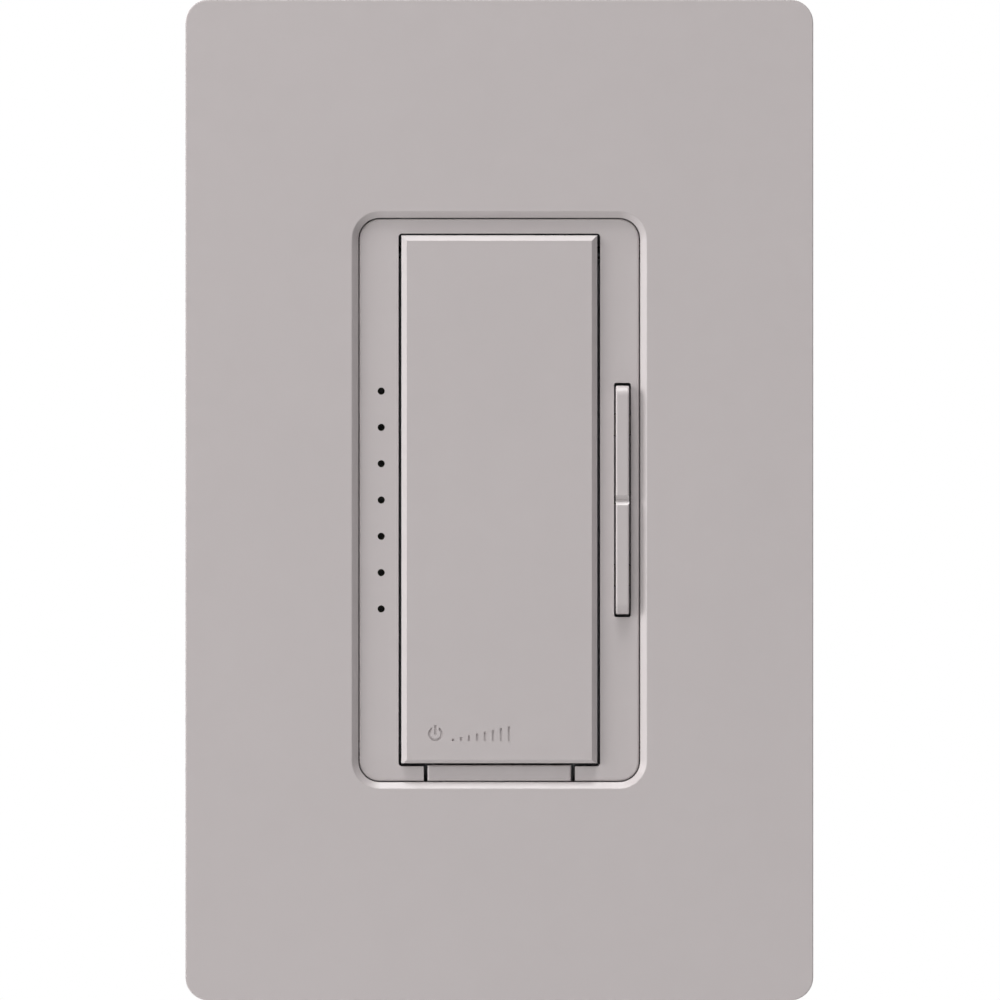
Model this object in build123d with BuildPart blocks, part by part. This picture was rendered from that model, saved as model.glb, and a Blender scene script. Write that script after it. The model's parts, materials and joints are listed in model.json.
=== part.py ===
from build123d import *
import os

# A single-gang tap dimmer for a wall box, with a screwless clip-on wallplate.
# Millimetres. X is to the right and Z is up, as seen from the room; the wall's surface is Y = 0
# and the room is towards -Y. The origin is on the wall, midway between the two box screws.
# A "level" is a distance in front of the wall, so it is -Y; levels inside the wall are negative.

CLEAR = 0.05  # gap between parts that are assembled against each other
ROOT = 0.5  # how far a leg or boss runs into the body that it grows from
FAR = 200.0

# ---------------------------------------------------------------- wallplate and adapter
PLATE_WIDTH = 74.7
PLATE_HEIGHT = 119.1
PLATE_FRONT = 7.6
PLATE_CORNER = 2.8
PLATE_EDGE = 0.15
OPENING_EDGE = 0.25
ADAPTER_EDGE = 0.5
PLATE_WALL = 1.5
PLATE_SKIN = 2.0
PLATE_INSIDE = PLATE_FRONT - PLATE_SKIN
OPENING_GAP = 0.12
OPENING_BEVEL = 0.75
COLLAR_WALL = 1.2
COLLAR_BACK = 3.6
RIB_WALL = 1.0
RIB_BACK = 4.3
RIB_PITCH = 23.0
RIB_COUNT = 5
PRY_HALF = 5.0
PRY_FRONT = 1.3

ADAPTER_WIDTH = 71.0
ADAPTER_HEIGHT = 115.4
ADAPTER_CORNER = 1.6
ADAPTER_RIM = 1.5
ADAPTER_RIM_BACK = 0.3
ADAPTER_BACK = 1.5
ADAPTER_FRONT = 3.3
ADAPTER_OPENING_GAP = 0.45
ADAPTER_RIB_BACK = 0.6
ADAPTER_RIB_WALL = 0.8
ADAPTER_RIB_START = 23.4
ADAPTER_RIB_X = 25.5
ADAPTER_RIB_Z = (36.5, 52.0)
SCREW_WINDOW = 4.6
HOOK_X = 30.0
HOOK_Z = 44.0
HOOK_WIDTH = 10.0
HOOK_THICK = 1.2
HOOK_BARB = 0.7
HOOK_CLEAR = 0.3
HOOK_SLOT_SHIFT = 0.15
HOOK_BACK = 0.7

# ---------------------------------------------------------------- screws and their places
BOX_SCREW_Z = 83.34 / 2
BOX_SCREW_RADIUS = 1.75
BOX_SCREW_NECK = 1.45
BOX_SCREW_HEAD = 3.4
BOX_SCREW_START = -0.7
BOX_SCREW_END = -22.0
BOX_SCREW_DOME = ((0, 3.7), (1.6, 3.6), (2.8, 3.2), (BOX_SCREW_HEAD, 2.6))
BOX_SCREW_POINT = 1.0
BOX_SLOT_WIDTH = 1.0
BOX_SLOT_FLOOR = 2.5
RETAINER_RADIUS = 3.0
RETAINER_FRONT = -0.05
RETAINER_BACK = -0.6
PLATE_SCREW_Z = 96.8 / 2
PLATE_SCREW_HEAD = 2.9
PLATE_SCREW_RADIUS = 1.45
PLATE_SCREW_END = -4.8
PLATE_HOLE = 1.9
PLATE_SINK = 3.3
PLATE_SINK_ANGLE = 82
TAPPED_HOLE = 1.5
HOUSING_SCREW_X = 17.4
HOUSING_SCREW_Z = 30.6
HOUSING_SCREW_HEAD = 2.1
HOUSING_SCREW_RADIUS = 1.1
HOUSING_SCREW_END = -11.0
SINK_GAP = 0.1
HEAD_RECESS = 0.1
POINT = 0.6

# ---------------------------------------------------------------- yoke
YOKE_WIDTH = 44.5
YOKE_HEIGHT = 106.0
YOKE_BACK = 0.1
YOKE_FRONT = 1.5
YOKE_CORNER = 3.0
YOKE_BREAK = 0.12
FIN_REACH = 33.0
FIN_HEIGHT = 66.0
SCORE_X = 23.4
SCORE_WIDTH = 0.8
SCORE_LENGTH = 14.0
SCORE_PITCH = 17.0
SCORE_COUNT = 4
BOX_SLOT_LENGTH = 8.0
BOX_SLOT_HEIGHT = 4.0
CLIP_X = 13.7
CLIP_Z = 22.0
CLIP_HALF = 2.0
CLIP_BACK = -1.4
CLIP_BARB_FRONT = -0.6
CLIP_LEG = (-1.0, 0.4)
CLIP_BARB = (-0.3, 1.0)
CLIP_WINDOW = (2.8, 4.6)
PIPE_WINDOW_WIDTH = 2.6
PIPE_WINDOW_HEIGHT = 29.0
BUTTON_WINDOW = 2.6
GROUND_X = -15.0
GROUND_Z = -39.5

# ---------------------------------------------------------------- bezel, paddle, rocker, tab
BEZEL_WIDTH = 33.3
BEZEL_HEIGHT = 66.9
BEZEL_CORNER = 2.4
BEZEL_EDGE = 0.25
BEZEL_FRONT = 6.95
APERTURE_WIDTH = 24.0
APERTURE_HEIGHT = 63.4
APERTURE_CORNER = 0.4
NOTCH_HALF = 9.0

PADDLE_WIDTH = 23.3
PADDLE_HEIGHT = 62.8
PADDLE_MID_Z = 0.09
PADDLE_BACK = 3.0
PADDLE_FRONT = 7.7
PADDLE_BEVEL = 0.65
PADDLE_BEVEL_LOW = 0.4
PADDLE_SKIN = 1.6
PADDLE_WALL = 1.2
PADDLE_RIB = 1.0
PADDLE_RIB_X = 6.0
PADDLE_RIB_Z = (-16.0, 10.0, 22.0)
PADDLE_CROSS_BACK = 4.0
PADDLE_UNDERSIDE = PADDLE_FRONT - PADDLE_SKIN
HINGE_Z = 29.5
HINGE_LEVEL = 4.6
HINGE_PIN_RADIUS = 0.75
HINGE_PIN_END = 13.6
HINGE_KEEPER = (12.3, 13.4)
HINGE_KEEPER_HALF = 0.5
PIN_BREAK = 0.15
TAP_Z = 3.5
TAP_POST = ((2.2, PADDLE_UNDERSIDE + 0.2), (1.6, 1.0), (1.2, 0.5))
SPRING_Z = -24.0
SPRING_OUTSIDE = 2.5
SPRING_WIRE = 0.5
SPRING_STUD = 1.5
SPRING_STUD_BACK = 4.9

MARK_DEPTH = 0.12
MARK_LINE = 0.26
RING_X = -7.6
RING_Z = -27.8
RING_RADIUS = 0.86
STEP_X = -5.5
STEP_Z = -28.65
STEP_PITCH = 0.95
STEP_COUNT = 8
STEP_SHORTEST = 0.25
STEP_RISE = 0.21

LED_X = -14.06
LED_PITCH = 4.32
LED_COUNT = 7
LED_BORE = 0.425
LED_TIP = 0.4
PIPE_FRONT = 6.0
PIPE_LEG = 0.8
PIPE_BACK = -3.6
PIPE_BAR_HALF = 1.0
PIPE_BAR_TALL = 14.2
PIPE_BAR_BACK = 3.8
CHANNEL_GAP = 0.25
CHANNEL_FRONT = 5.7

ROCKER_X = 14.65
ROCKER_WIDTH = 1.58
ROCKER_HALF = 13.6
ROCKER_BACK = 3.0
ROCKER_FRONT = 8.1
ROCKER_END = 1.2
ROCKER_EDGE = 0.2
ROCKER_SLOT_WIDTH = 2.0
ROCKER_SLOT_HALF = 13.95
ROCKER_SLOT_CORNER = 0.3
ROCKER_PIVOT_LEVEL = 4.2
ROCKER_PIN_RADIUS = 0.55
ROCKER_PIN_START = 12.8
ROCKER_PIN_END = 16.1
ROCKER_KEEPERS = ((12.8, 13.5), (15.75, 16.1))
ROCKER_KEEPER_HALF = 0.4
ROCKER_POST_Z = 9.0
ROCKER_POST_HALF = 0.8
ROCKER_POST_TIP = 0.5
GROOVE_HALF = 0.6
GROOVE_DEPTH = 0.45

TAB_HALF = 8.55
TAB_TOP = -31.55
TAB_BOTTOM = -33.45
TAB_BACK = 2.6
TAB_EDGE = 0.2
GRIP_HALF = 5.0
GRIP_DEPTH = 0.5
GRIP_LEVELS = (5.0, 6.4)
STEM_HALF = 4.0
STEM_TOP = -31.9
STEM_BOTTOM = -33.1
STEM_END = -9.45
STEM_SHOULDER = 5.2
STEM_SHOULDER_FRONT = -4.7
STEM_SHOULDER_BACK = -6.7
STEM_WINDOW_WIDTH = 8.8
STEM_WINDOW_HEIGHT = 1.8

# ---------------------------------------------------------------- boards
BOARD_HALF = 19.5
CONTROL_FRONT = -4.5
CONTROL_BACK = -6.1
CONTROL_LOW = -30.9
CONTROL_HIGH = 14.4
POWER_FRONT = -22.0
POWER_BACK = -23.6
POWER_TALL = 31.0
CORNER_NOTCH_X = 14.3
CORNER_NOTCH_Z = 27.5
PARTS_SEAT = POWER_FRONT + CLEAR

# ---------------------------------------------------------------- parts on the control board
BUTTONS = ((0, TAP_Z), (ROCKER_X, ROCKER_POST_Z), (ROCKER_X, -ROCKER_POST_Z))
TACT_SIZE = 6.0
TACT_TOP = -1.0
TACT_HOLE = 1.6
TACT_FLOOR = CONTROL_FRONT + 1.0
PLUNGER_TIP = 0.4
PLUNGER_RADIUS = 1.5
PLUNGER_FOOT = -2.6
PLUNGER_EDGE = 0.2
LED_WIDTH = 0.8
LED_LENGTH = 1.6
LED_TALL = 0.7
MICRO_Z = -9.0
MICRO_WIDTH = 4.0
MICRO_LENGTH = 6.0
MICRO_BACK = CONTROL_FRONT + 0.15
MICRO_FRONT = CONTROL_FRONT + 1.6
MICRO_PIN_REACH = 6.4
MICRO_PIN_PITCH = 0.7
MICRO_PIN_COUNT = 8
MICRO_PIN_FRONT = CONTROL_FRONT + 0.5
CHIP_CENTRE = (-5.1, -22.6)
CHIP_PITCH = (2.6, 3.4)
CHIP_ROWS = (4, 3)
CHIP_SIZE = (1.2, 2.0)
CHIP_TALL = 0.6
HEADER_X = -17.05
HEADER_Z = 1.15
HEADER_WIDTH = 2.5
HEADER_LENGTH = 12.7
HEADER_TALL = 2.5
HEADER_PIN = 0.6
HEADER_COUNT = 5
LEAD_PITCH = 2.54

# ---------------------------------------------------------------- parts on the power board
TRIAC_X = 6.5
TRIAC_HALF = 5.1
TRIAC_HOLE_Z = 30.0
TRIAC_HOLE = 1.8
TRIAC_TOP = 33.2
TRIAC_STEP = 26.8
TRIAC_LOW = 17.6
TRIAC_FACE = -0.4
TRIAC_TAB_BACK = TRIAC_FACE - 1.3
TRIAC_BODY_BACK = TRIAC_FACE - 4.5
TRIAC_LEAD_HALF = 0.4
TRIAC_LEAD_LOW = 15.8
TRIAC_LEAD_BACK = TRIAC_FACE - 2.8
TRIAC_LEAD_THICK = 0.6
PAD_HALF = 6.0
PAD_LOW = 16.4
PAD_HIGH = 33.4
TRIAC_SCREW_HEAD = 2.45
TRIAC_SCREW_RADIUS = 1.45
TRIAC_SCREW_END = -5.6
NUT_RADIUS = 3.0
NUT_BACK = -4.2
NUT_FRONT = TRIAC_TAB_BACK - 0.1

CHOKE_X = -8.8
CHOKE_Z = 17.5
CHOKE_INNER = 4.0
CHOKE_OUTER = 8.0
CHOKE_FRONT = -13.6
CHOKE_BACK = -20.4
CHOKE_EDGE = 0.5
WINDING_THICK = 0.9
WINDING_ARC = 310

FILM_LEFT = -2.75
FILM_RIGHT = 14.75
FILM_LOW = -0.75
FILM_HIGH = 7.75
FILM_FRONT = -9.0
FILM_EDGE = 0.6
CAN_X = -11.0
CAN_Z = -2.0
CAN_RADIUS = 4.0
CAN_FRONT = -9.5
CAN_EDGE = 0.4
VARISTOR_X = 8.0
VARISTOR_LEVEL = -16.5
VARISTOR_RADIUS = 4.6
VARISTOR_LOW = -12.0
VARISTOR_THICK = 4.0
VARISTOR_EDGE = 0.8
DRUM_X = -1.5
DRUM_Z = -9.0
DRUM_RADIUS = 4.0
DRUM_WAIST = 3.4
DRUM_FRONT = -13.0
DRUM_FLANGE = 1.2
BRIDGE_X = -8.05
BRIDGE_Z = -19.25
BRIDGE_WIDTH = 8.5
BRIDGE_LENGTH = 6.5
BRIDGE_BACK = PARTS_SEAT + 0.6
BRIDGE_FRONT = PARTS_SEAT + 3.8
BRIDGE_LEG_X = 3.05
BRIDGE_LEG_WIDTH = 1.0
BRIDGE_LEG_REACH = 7.9
AXIAL_LEVEL = PARTS_SEAT + 1.85
AXIAL_RADIUS = 1.8
AXIAL_LEAD = 0.35
AXIAL_LEAD_REACH = 1.7
AXIAL_LENGTH = 9.0
FUSE_X = 0.5
FUSE_Z = -19.0
RESISTOR_X = 1.0
RESISTOR_Z = -25.0

LEAF_ROOT = -9.0
LEAF_END = 7.0
LEAF_FRONT = -9.55
LEAF_BACK = -9.85
LEAF_LOW = -33.0
LEAF_HIGH = -30.0
LEAF_ROLL = 0.4
LEAF_BASE_END = LEAF_ROOT - LEAF_ROLL - CLEAR
LEAF_BASE_START = -13.0
LEAF_BASE_BACK = -10.35
LEG_THICK = 0.8
CONTACT_X = 5.0
CONTACT_Z = (LEAF_LOW + LEAF_HIGH) / 2
CONTACT_RADIUS = 1.2
CONTACT_TALL = 0.6
FIXED_HALF = 2.0

# ---------------------------------------------------------------- housing and terminals
HOUSING_WIDTH = 43.5
HOUSING_HEIGHT = 70.0
HOUSING_BACK = -27.0
HOUSING_WALL = 1.5
HOUSING_CORNER = 2.0
HOUSING_EDGE = 1.2
LIP_WIDTH = 44.3
LIP_HEIGHT = 71.0
LIP_BACK = -2.0
END_RIB_PITCH = 7.0
END_RIB_COUNT = 5
END_RIB_WALL = 1.0
END_RIB_BACK = -24.0
BOSS_RADIUS = 2.7
BOSS_HOLE = 1.15
BOSS_FLOOR = HOUSING_BACK + 4.0
LABEL_WIDTH = 28.0
LABEL_HEIGHT = 40.0
LABEL_THICK = 0.18
LABEL_RECESS = 0.3
LABEL_MARGIN = 0.5
GAUGE_Z = -27.0
GAUGE_LENGTH = 12.0
GAUGE_LINE = 0.8
GAUGE_TICK = 3.0
MOULD_DEPTH = 0.2
EJECTOR_X = 16.8
EJECTOR_Z = 24.0
EJECTOR_RADIUS = 1.7
SHEET_FRONT = YOKE_BACK - CLEAR
SHEET_BACK = -0.4
SHEET_WIDTH = 40.0
SHEET_HEIGHT = 48.6
SHEET_Z = -9.0
SHEET_NOTCH_Z = -33.0
SHEET_NOTCH = (11.2, 3.2)
SHEET_CLIP_WINDOW = (3.4, 4.8)
SHEET_CORNER = (6.2, 6.2)

TERMINALS = ((1, 13.0), (1, -13.0), (-1, -13.0))
BLANK_TERMINAL = (-1, 13.0)
POCKET_FLOOR = 17.2
POCKET_INSIDE = 15.7
POCKET_HALF = 5.5
POCKET_FRONT = -7.7
POCKET_BACK = -20.4
POCKET_FRAME = 1.1
BLANK_DEPTH = 0.8
TERMINAL_LEVEL = -14.0
TERMINAL_HOLE = 1.6
BRACKET_HALF = 4.5
BRACKET_THICK = 1.0
BRACKET_LEVELS = (-19.9, -8.2)
TAB_SLOT_HALF = 2.2
TAB_SLOT_LEVELS = (-19.75, -18.45)
TERMINAL_TAB_HALF = 2.0
TERMINAL_TAB_LEVELS = (-19.6, -18.6)
TERMINAL_LEG_X = 14.2
CLAMP_THICK = 1.0
CLAMP_HALF = 4.0
CLAMP_LEVELS = (-18.5, -9.5)
CLAMP_HOLE = 1.9
CLAMP_START = POCKET_FLOOR + BRACKET_THICK + 0.1
HEAD_START = CLAMP_START + CLAMP_THICK + CLEAR
TERMINAL_SCREW_RADIUS = 1.55
TERMINAL_SCREW_INNER = 13.9
TERMINAL_HEAD = 3.5
TERMINAL_HEAD_TALL = 2.0
TERMINAL_SLOT_DEPTH = 0.9
GROUND_HEAD = 3.5
GROUND_HEAD_BACK = -2.4
GROUND_EDGE = 0.4
GROUND_SLOT_FLOOR = -1.5

OPENING_WIDTH = BEZEL_WIDTH + 2 * OPENING_GAP
OPENING_HEIGHT = BEZEL_HEIGHT + 2 * OPENING_GAP


# ---------------------------------------------------------------- shared shapes
def level(height):
    """Plane parallel to the wall at one level, drawn as seen from the room."""
    return Plane.XZ.offset(height)


def block(left, right, low, high, back, front, mode=Mode.ADD):
    """Rectangular block between two widths, two heights and two levels."""
    with Locations(((left + right) / 2, -(back + front) / 2, (low + high) / 2)):
        Box(right - left, front - back, high - low, mode=mode)


def slab(x, z, width, height, back, front, mode=Mode.ADD):
    """Rectangular block centred on a place, between two levels."""
    block(x - width / 2, x + width / 2, z - height / 2, z + height / 2, back, front, mode)


def side_block(side, near, far, low, high, back, front, mode=Mode.ADD):
    """Rectangular block between two distances from the middle, on the left (-1) or right (1)."""
    left, right = sorted((side * near, side * far))
    block(left, right, low, high, back, front, mode)


def post(x, z, radius, back, front, mode=Mode.ADD):
    """Round post square to the wall between two levels."""
    with BuildSketch(level(back)) as profile:
        with Locations((x, z)):
            Circle(radius)
    extrude(profile.sketch, amount=front - back, mode=mode)


def bar(start, end, height, z, radius, mode=Mode.ADD):
    """Round bar parallel to X from start to end, at one level and height."""
    with BuildSketch(Plane.YZ.offset(start)) as profile:
        with Locations((-height, z)):
            Circle(radius)
    extrude(profile.sketch, amount=end - start, mode=mode)


def side_bar(side, near, far, height, z, radius, mode=Mode.ADD):
    """Round bar between two distances from the middle, on the left (-1) or right (1)."""
    left, right = sorted((side * near, side * far))
    bar(left, right, height, z, radius, mode)


def turned(x, z, outline, mode=Mode.ADD):
    """Solid of revolution about a line square to the wall, from (radius, level) corners."""
    with BuildSketch(Plane.XY.offset(z)) as profile:
        with BuildLine():
            Polyline(*[(x + radius, -height) for radius, height in outline], close=True)
        make_face()
    revolve(profile.sketch, axis=Axis((x, 0, z), (0, 1, 0)), mode=mode)


def countersunk_screw(x, z, head, front, radius, end):
    """Slotted screw with a flat head at one level, a 45 degree cone under it and a blunt point."""
    turned(
        x, z,
        [
            (0, front), (head, front), (radius, front - head + radius),
            (radius, end + POINT), (radius - POINT, end), (0, end),
        ],
    )
    slab(x, z, 2 * head + 1, head / 3, front - head / 4, front + 1, Mode.SUBTRACT)


def front_edges(part):
    """Edges of the face nearest the room."""
    return part.faces().sort_by(Axis.Y)[0].edges()


def corner_notches(high, low, back, front):
    """Clear a board's corners for the housing's screw bosses."""
    for side in (-1, 1):
        if high > CORNER_NOTCH_Z:
            side_block(
                side, CORNER_NOTCH_X, BOARD_HALF + 1, CORNER_NOTCH_Z, high + 1,
                back - 1, front + 1, Mode.SUBTRACT,
            )
        side_block(
            side, CORNER_NOTCH_X, BOARD_HALF + 1, low - 1, -CORNER_NOTCH_Z,
            back - 1, front + 1, Mode.SUBTRACT,
        )


# ---------------------------------------------------------------- wallplate
with BuildPart() as wallplate:
    with BuildSketch(level(0)):
        RectangleRounded(PLATE_WIDTH, PLATE_HEIGHT, PLATE_CORNER)
    extrude(amount=PLATE_FRONT)
    fillet(front_edges(wallplate), PLATE_EDGE)
    inside_width = PLATE_WIDTH - 2 * PLATE_WALL
    inside_height = PLATE_HEIGHT - 2 * PLATE_WALL
    with BuildSketch(level(0)):
        RectangleRounded(inside_width, inside_height, PLATE_CORNER - PLATE_WALL)
    extrude(amount=PLATE_INSIDE, mode=Mode.SUBTRACT)
    with BuildSketch(level(COLLAR_BACK)):
        RectangleRounded(
            OPENING_WIDTH + 2 * COLLAR_WALL, OPENING_HEIGHT + 2 * COLLAR_WALL, BEZEL_CORNER + COLLAR_WALL
        )
    extrude(amount=PLATE_INSIDE - COLLAR_BACK)
    # stiffening ribs from wall to wall
    for index in range(RIB_COUNT):
        rib_z = (index - (RIB_COUNT - 1) / 2) * RIB_PITCH
        slab(0, rib_z, inside_width + PLATE_WALL, RIB_WALL, RIB_BACK, PLATE_INSIDE)
    for side in (-1, 1):
        slab(side * HOOK_X, 0, RIB_WALL, inside_height + PLATE_WALL, RIB_BACK, PLATE_INSIDE)
    # hooks that reach back through the adapter
    for side in (-1, 1):
        for end in (-1, 1):
            low, high = end * HOOK_Z - HOOK_WIDTH / 2, end * HOOK_Z + HOOK_WIDTH / 2
            outside = HOOK_X + HOOK_THICK / 2
            side_block(side, HOOK_X - HOOK_THICK / 2, outside, low, high, HOOK_BACK, PLATE_INSIDE)
            side_block(side, HOOK_X, outside + HOOK_BARB, low, high, HOOK_BACK, ADAPTER_BACK - CLEAR)
    with BuildSketch(level(0)):
        RectangleRounded(OPENING_WIDTH, OPENING_HEIGHT, BEZEL_CORNER + OPENING_GAP)
    extrude(amount=PLATE_FRONT, mode=Mode.SUBTRACT)
    opening_edges = wallplate.faces().sort_by(Axis.Y)[0].inner_wires()[0].edges()
    chamfer(opening_edges, OPENING_BEVEL)
    fillet(wallplate.faces().sort_by(Axis.Y)[0].inner_wires()[0].edges(), OPENING_EDGE)
    # notch in the lower rim, where a screwdriver pries the plate off
    block(
        -PRY_HALF, PRY_HALF, -PLATE_HEIGHT / 2 - 1, -PLATE_HEIGHT / 2 + PLATE_WALL + 1,
        -1, PRY_FRONT, Mode.SUBTRACT,
    )

# ---------------------------------------------------------------- inner plate
with BuildPart() as plate_adapter:
    with BuildSketch(level(ADAPTER_RIM_BACK)):
        RectangleRounded(ADAPTER_WIDTH, ADAPTER_HEIGHT, ADAPTER_CORNER)
    extrude(amount=ADAPTER_FRONT - ADAPTER_RIM_BACK)
    fillet(front_edges(plate_adapter), ADAPTER_EDGE)
    inside_width = ADAPTER_WIDTH - 2 * ADAPTER_RIM
    inside_height = ADAPTER_HEIGHT - 2 * ADAPTER_RIM
    with BuildSketch(level(ADAPTER_RIM_BACK)):
        Rectangle(inside_width, inside_height)
    extrude(amount=ADAPTER_BACK - ADAPTER_RIM_BACK, mode=Mode.SUBTRACT)
    # ribs behind the corners, outside the yoke
    for side in (-1, 1):
        for end in (-1, 1):
            middle_z = end * (ADAPTER_RIB_Z[0] + inside_height / 2) / 2
            rib_height = inside_height / 2 - ADAPTER_RIB_Z[0] + ADAPTER_RIB_WALL
            slab(
                side * ADAPTER_RIB_X, middle_z, ADAPTER_RIB_WALL, rib_height,
                ADAPTER_RIB_BACK, ADAPTER_BACK + CLEAR,
            )
            for rib_z in ADAPTER_RIB_Z:
                side_block(
                    side, ADAPTER_RIB_START, inside_width / 2 + CLEAR,
                    end * rib_z - ADAPTER_RIB_WALL / 2, end * rib_z + ADAPTER_RIB_WALL / 2,
                    ADAPTER_RIB_BACK, ADAPTER_BACK + CLEAR,
                )
    with BuildSketch(level(0)):
        RectangleRounded(
            BEZEL_WIDTH + 2 * ADAPTER_OPENING_GAP, BEZEL_HEIGHT + 2 * ADAPTER_OPENING_GAP, BEZEL_CORNER
        )
        with Locations((0, BOX_SCREW_Z), (0, -BOX_SCREW_Z)):
            Circle(SCREW_WINDOW)
        for side in (-1, 1):
            slot_x = side * (HOOK_X + HOOK_SLOT_SHIFT)
            with Locations((slot_x, HOOK_Z), (slot_x, -HOOK_Z)):
                Rectangle(HOOK_THICK + 2 * HOOK_CLEAR, HOOK_WIDTH + 2 * HOOK_CLEAR)
    extrude(amount=ADAPTER_FRONT, mode=Mode.SUBTRACT)
    with Locations(level(ADAPTER_FRONT)):
        with Locations((0, PLATE_SCREW_Z), (0, -PLATE_SCREW_Z)):
            CounterSinkHole(PLATE_HOLE, PLATE_SINK, counter_sink_angle=PLATE_SINK_ANGLE)

# ---------------------------------------------------------------- screws for the plates and the box
with BuildPart() as adapter_screws:
    for z in (PLATE_SCREW_Z, -PLATE_SCREW_Z):
        countersunk_screw(
            0, z, PLATE_SCREW_HEAD, ADAPTER_FRONT - CLEAR, PLATE_SCREW_RADIUS, PLATE_SCREW_END
        )

with BuildPart() as box_screws:
    for z in (BOX_SCREW_Z, -BOX_SCREW_Z):
        turned(
            0, z,
            [
                *BOX_SCREW_DOME, (BOX_SCREW_HEAD, YOKE_FRONT),
                (BOX_SCREW_NECK, YOKE_FRONT), (BOX_SCREW_NECK, BOX_SCREW_START),
                (BOX_SCREW_RADIUS, BOX_SCREW_START), (BOX_SCREW_RADIUS, BOX_SCREW_END + BOX_SCREW_POINT),
                (BOX_SCREW_RADIUS / 2, BOX_SCREW_END), (0, BOX_SCREW_END),
            ],
        )
        slab(0, z, 3 * BOX_SCREW_HEAD, BOX_SLOT_WIDTH, BOX_SLOT_FLOOR, FAR, Mode.SUBTRACT)

with BuildPart() as screw_retainers:
    for z in (BOX_SCREW_Z, -BOX_SCREW_Z):
        post(0, z, RETAINER_RADIUS, RETAINER_BACK, RETAINER_FRONT)
        post(0, z, BOX_SCREW_NECK + CLEAR, RETAINER_BACK, RETAINER_FRONT, Mode.SUBTRACT)

# ---------------------------------------------------------------- yoke
with BuildPart() as yoke:
    with BuildSketch(level(YOKE_BACK)):
        RectangleRounded(YOKE_WIDTH, YOKE_HEIGHT, YOKE_CORNER)
        RectangleRounded(2 * FIN_REACH, FIN_HEIGHT, YOKE_CORNER)
    extrude(amount=YOKE_FRONT - YOKE_BACK)
    chamfer(front_edges(yoke), YOKE_BREAK)
    chamfer(yoke.faces().sort_by(Axis.Y)[-1].edges(), YOKE_BREAK)
    with BuildSketch(level(YOKE_BACK)):
        for side in (-1, 1):
            # perforated lines where the side fins break off
            with Locations((side * SCORE_X, 0)):
                with GridLocations(0, SCORE_PITCH, 1, SCORE_COUNT):
                    SlotOverall(SCORE_LENGTH, SCORE_WIDTH, rotation=90)
            with Locations((0, side * BOX_SCREW_Z)):
                SlotOverall(BOX_SLOT_LENGTH, BOX_SLOT_HEIGHT)
            with Locations((0, side * PLATE_SCREW_Z)):
                Circle(TAPPED_HOLE)
            # windows for the bezel's clip legs
            with Locations((side * CLIP_X, CLIP_Z), (side * CLIP_X, -CLIP_Z)):
                Rectangle(*CLIP_WINDOW)
        with Locations((LED_X, 0)):
            Rectangle(PIPE_WINDOW_WIDTH, PIPE_WINDOW_HEIGHT)
        with Locations(*BUTTONS):
            Circle(BUTTON_WINDOW)
        with Locations((0, (STEM_TOP + STEM_BOTTOM) / 2)):
            Rectangle(STEM_WINDOW_WIDTH, STEM_WINDOW_HEIGHT)
        with Locations((GROUND_X, GROUND_Z)):
            Circle(TAPPED_HOLE)
    extrude(amount=YOKE_FRONT - YOKE_BACK, mode=Mode.SUBTRACT)
    # keepers that close the open backs of the pin saddles
    for side in (-1, 1):
        side_block(
            side, *HINGE_KEEPER, HINGE_Z - HINGE_KEEPER_HALF, HINGE_Z + HINGE_KEEPER_HALF,
            YOKE_FRONT, HINGE_LEVEL - HINGE_PIN_RADIUS - CLEAR,
        )
    for left, right in ROCKER_KEEPERS:
        block(
            left, right, -ROCKER_KEEPER_HALF, ROCKER_KEEPER_HALF,
            YOKE_FRONT, ROCKER_PIVOT_LEVEL - ROCKER_PIN_RADIUS - CLEAR,
        )
    with Locations(level(YOKE_FRONT)):
        with GridLocations(2 * HOUSING_SCREW_X, 2 * HOUSING_SCREW_Z, 2, 2):
            CounterSinkHole(
                HOUSING_SCREW_RADIUS + 2 * SINK_GAP, HOUSING_SCREW_HEAD + 2 * SINK_GAP, counter_sink_angle=90
            )
        with Locations((TRIAC_X, TRIAC_HOLE_Z)):
            CounterSinkHole(
                TRIAC_SCREW_RADIUS + SINK_GAP, TRIAC_SCREW_HEAD + 2 * SINK_GAP, counter_sink_angle=90
            )

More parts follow.
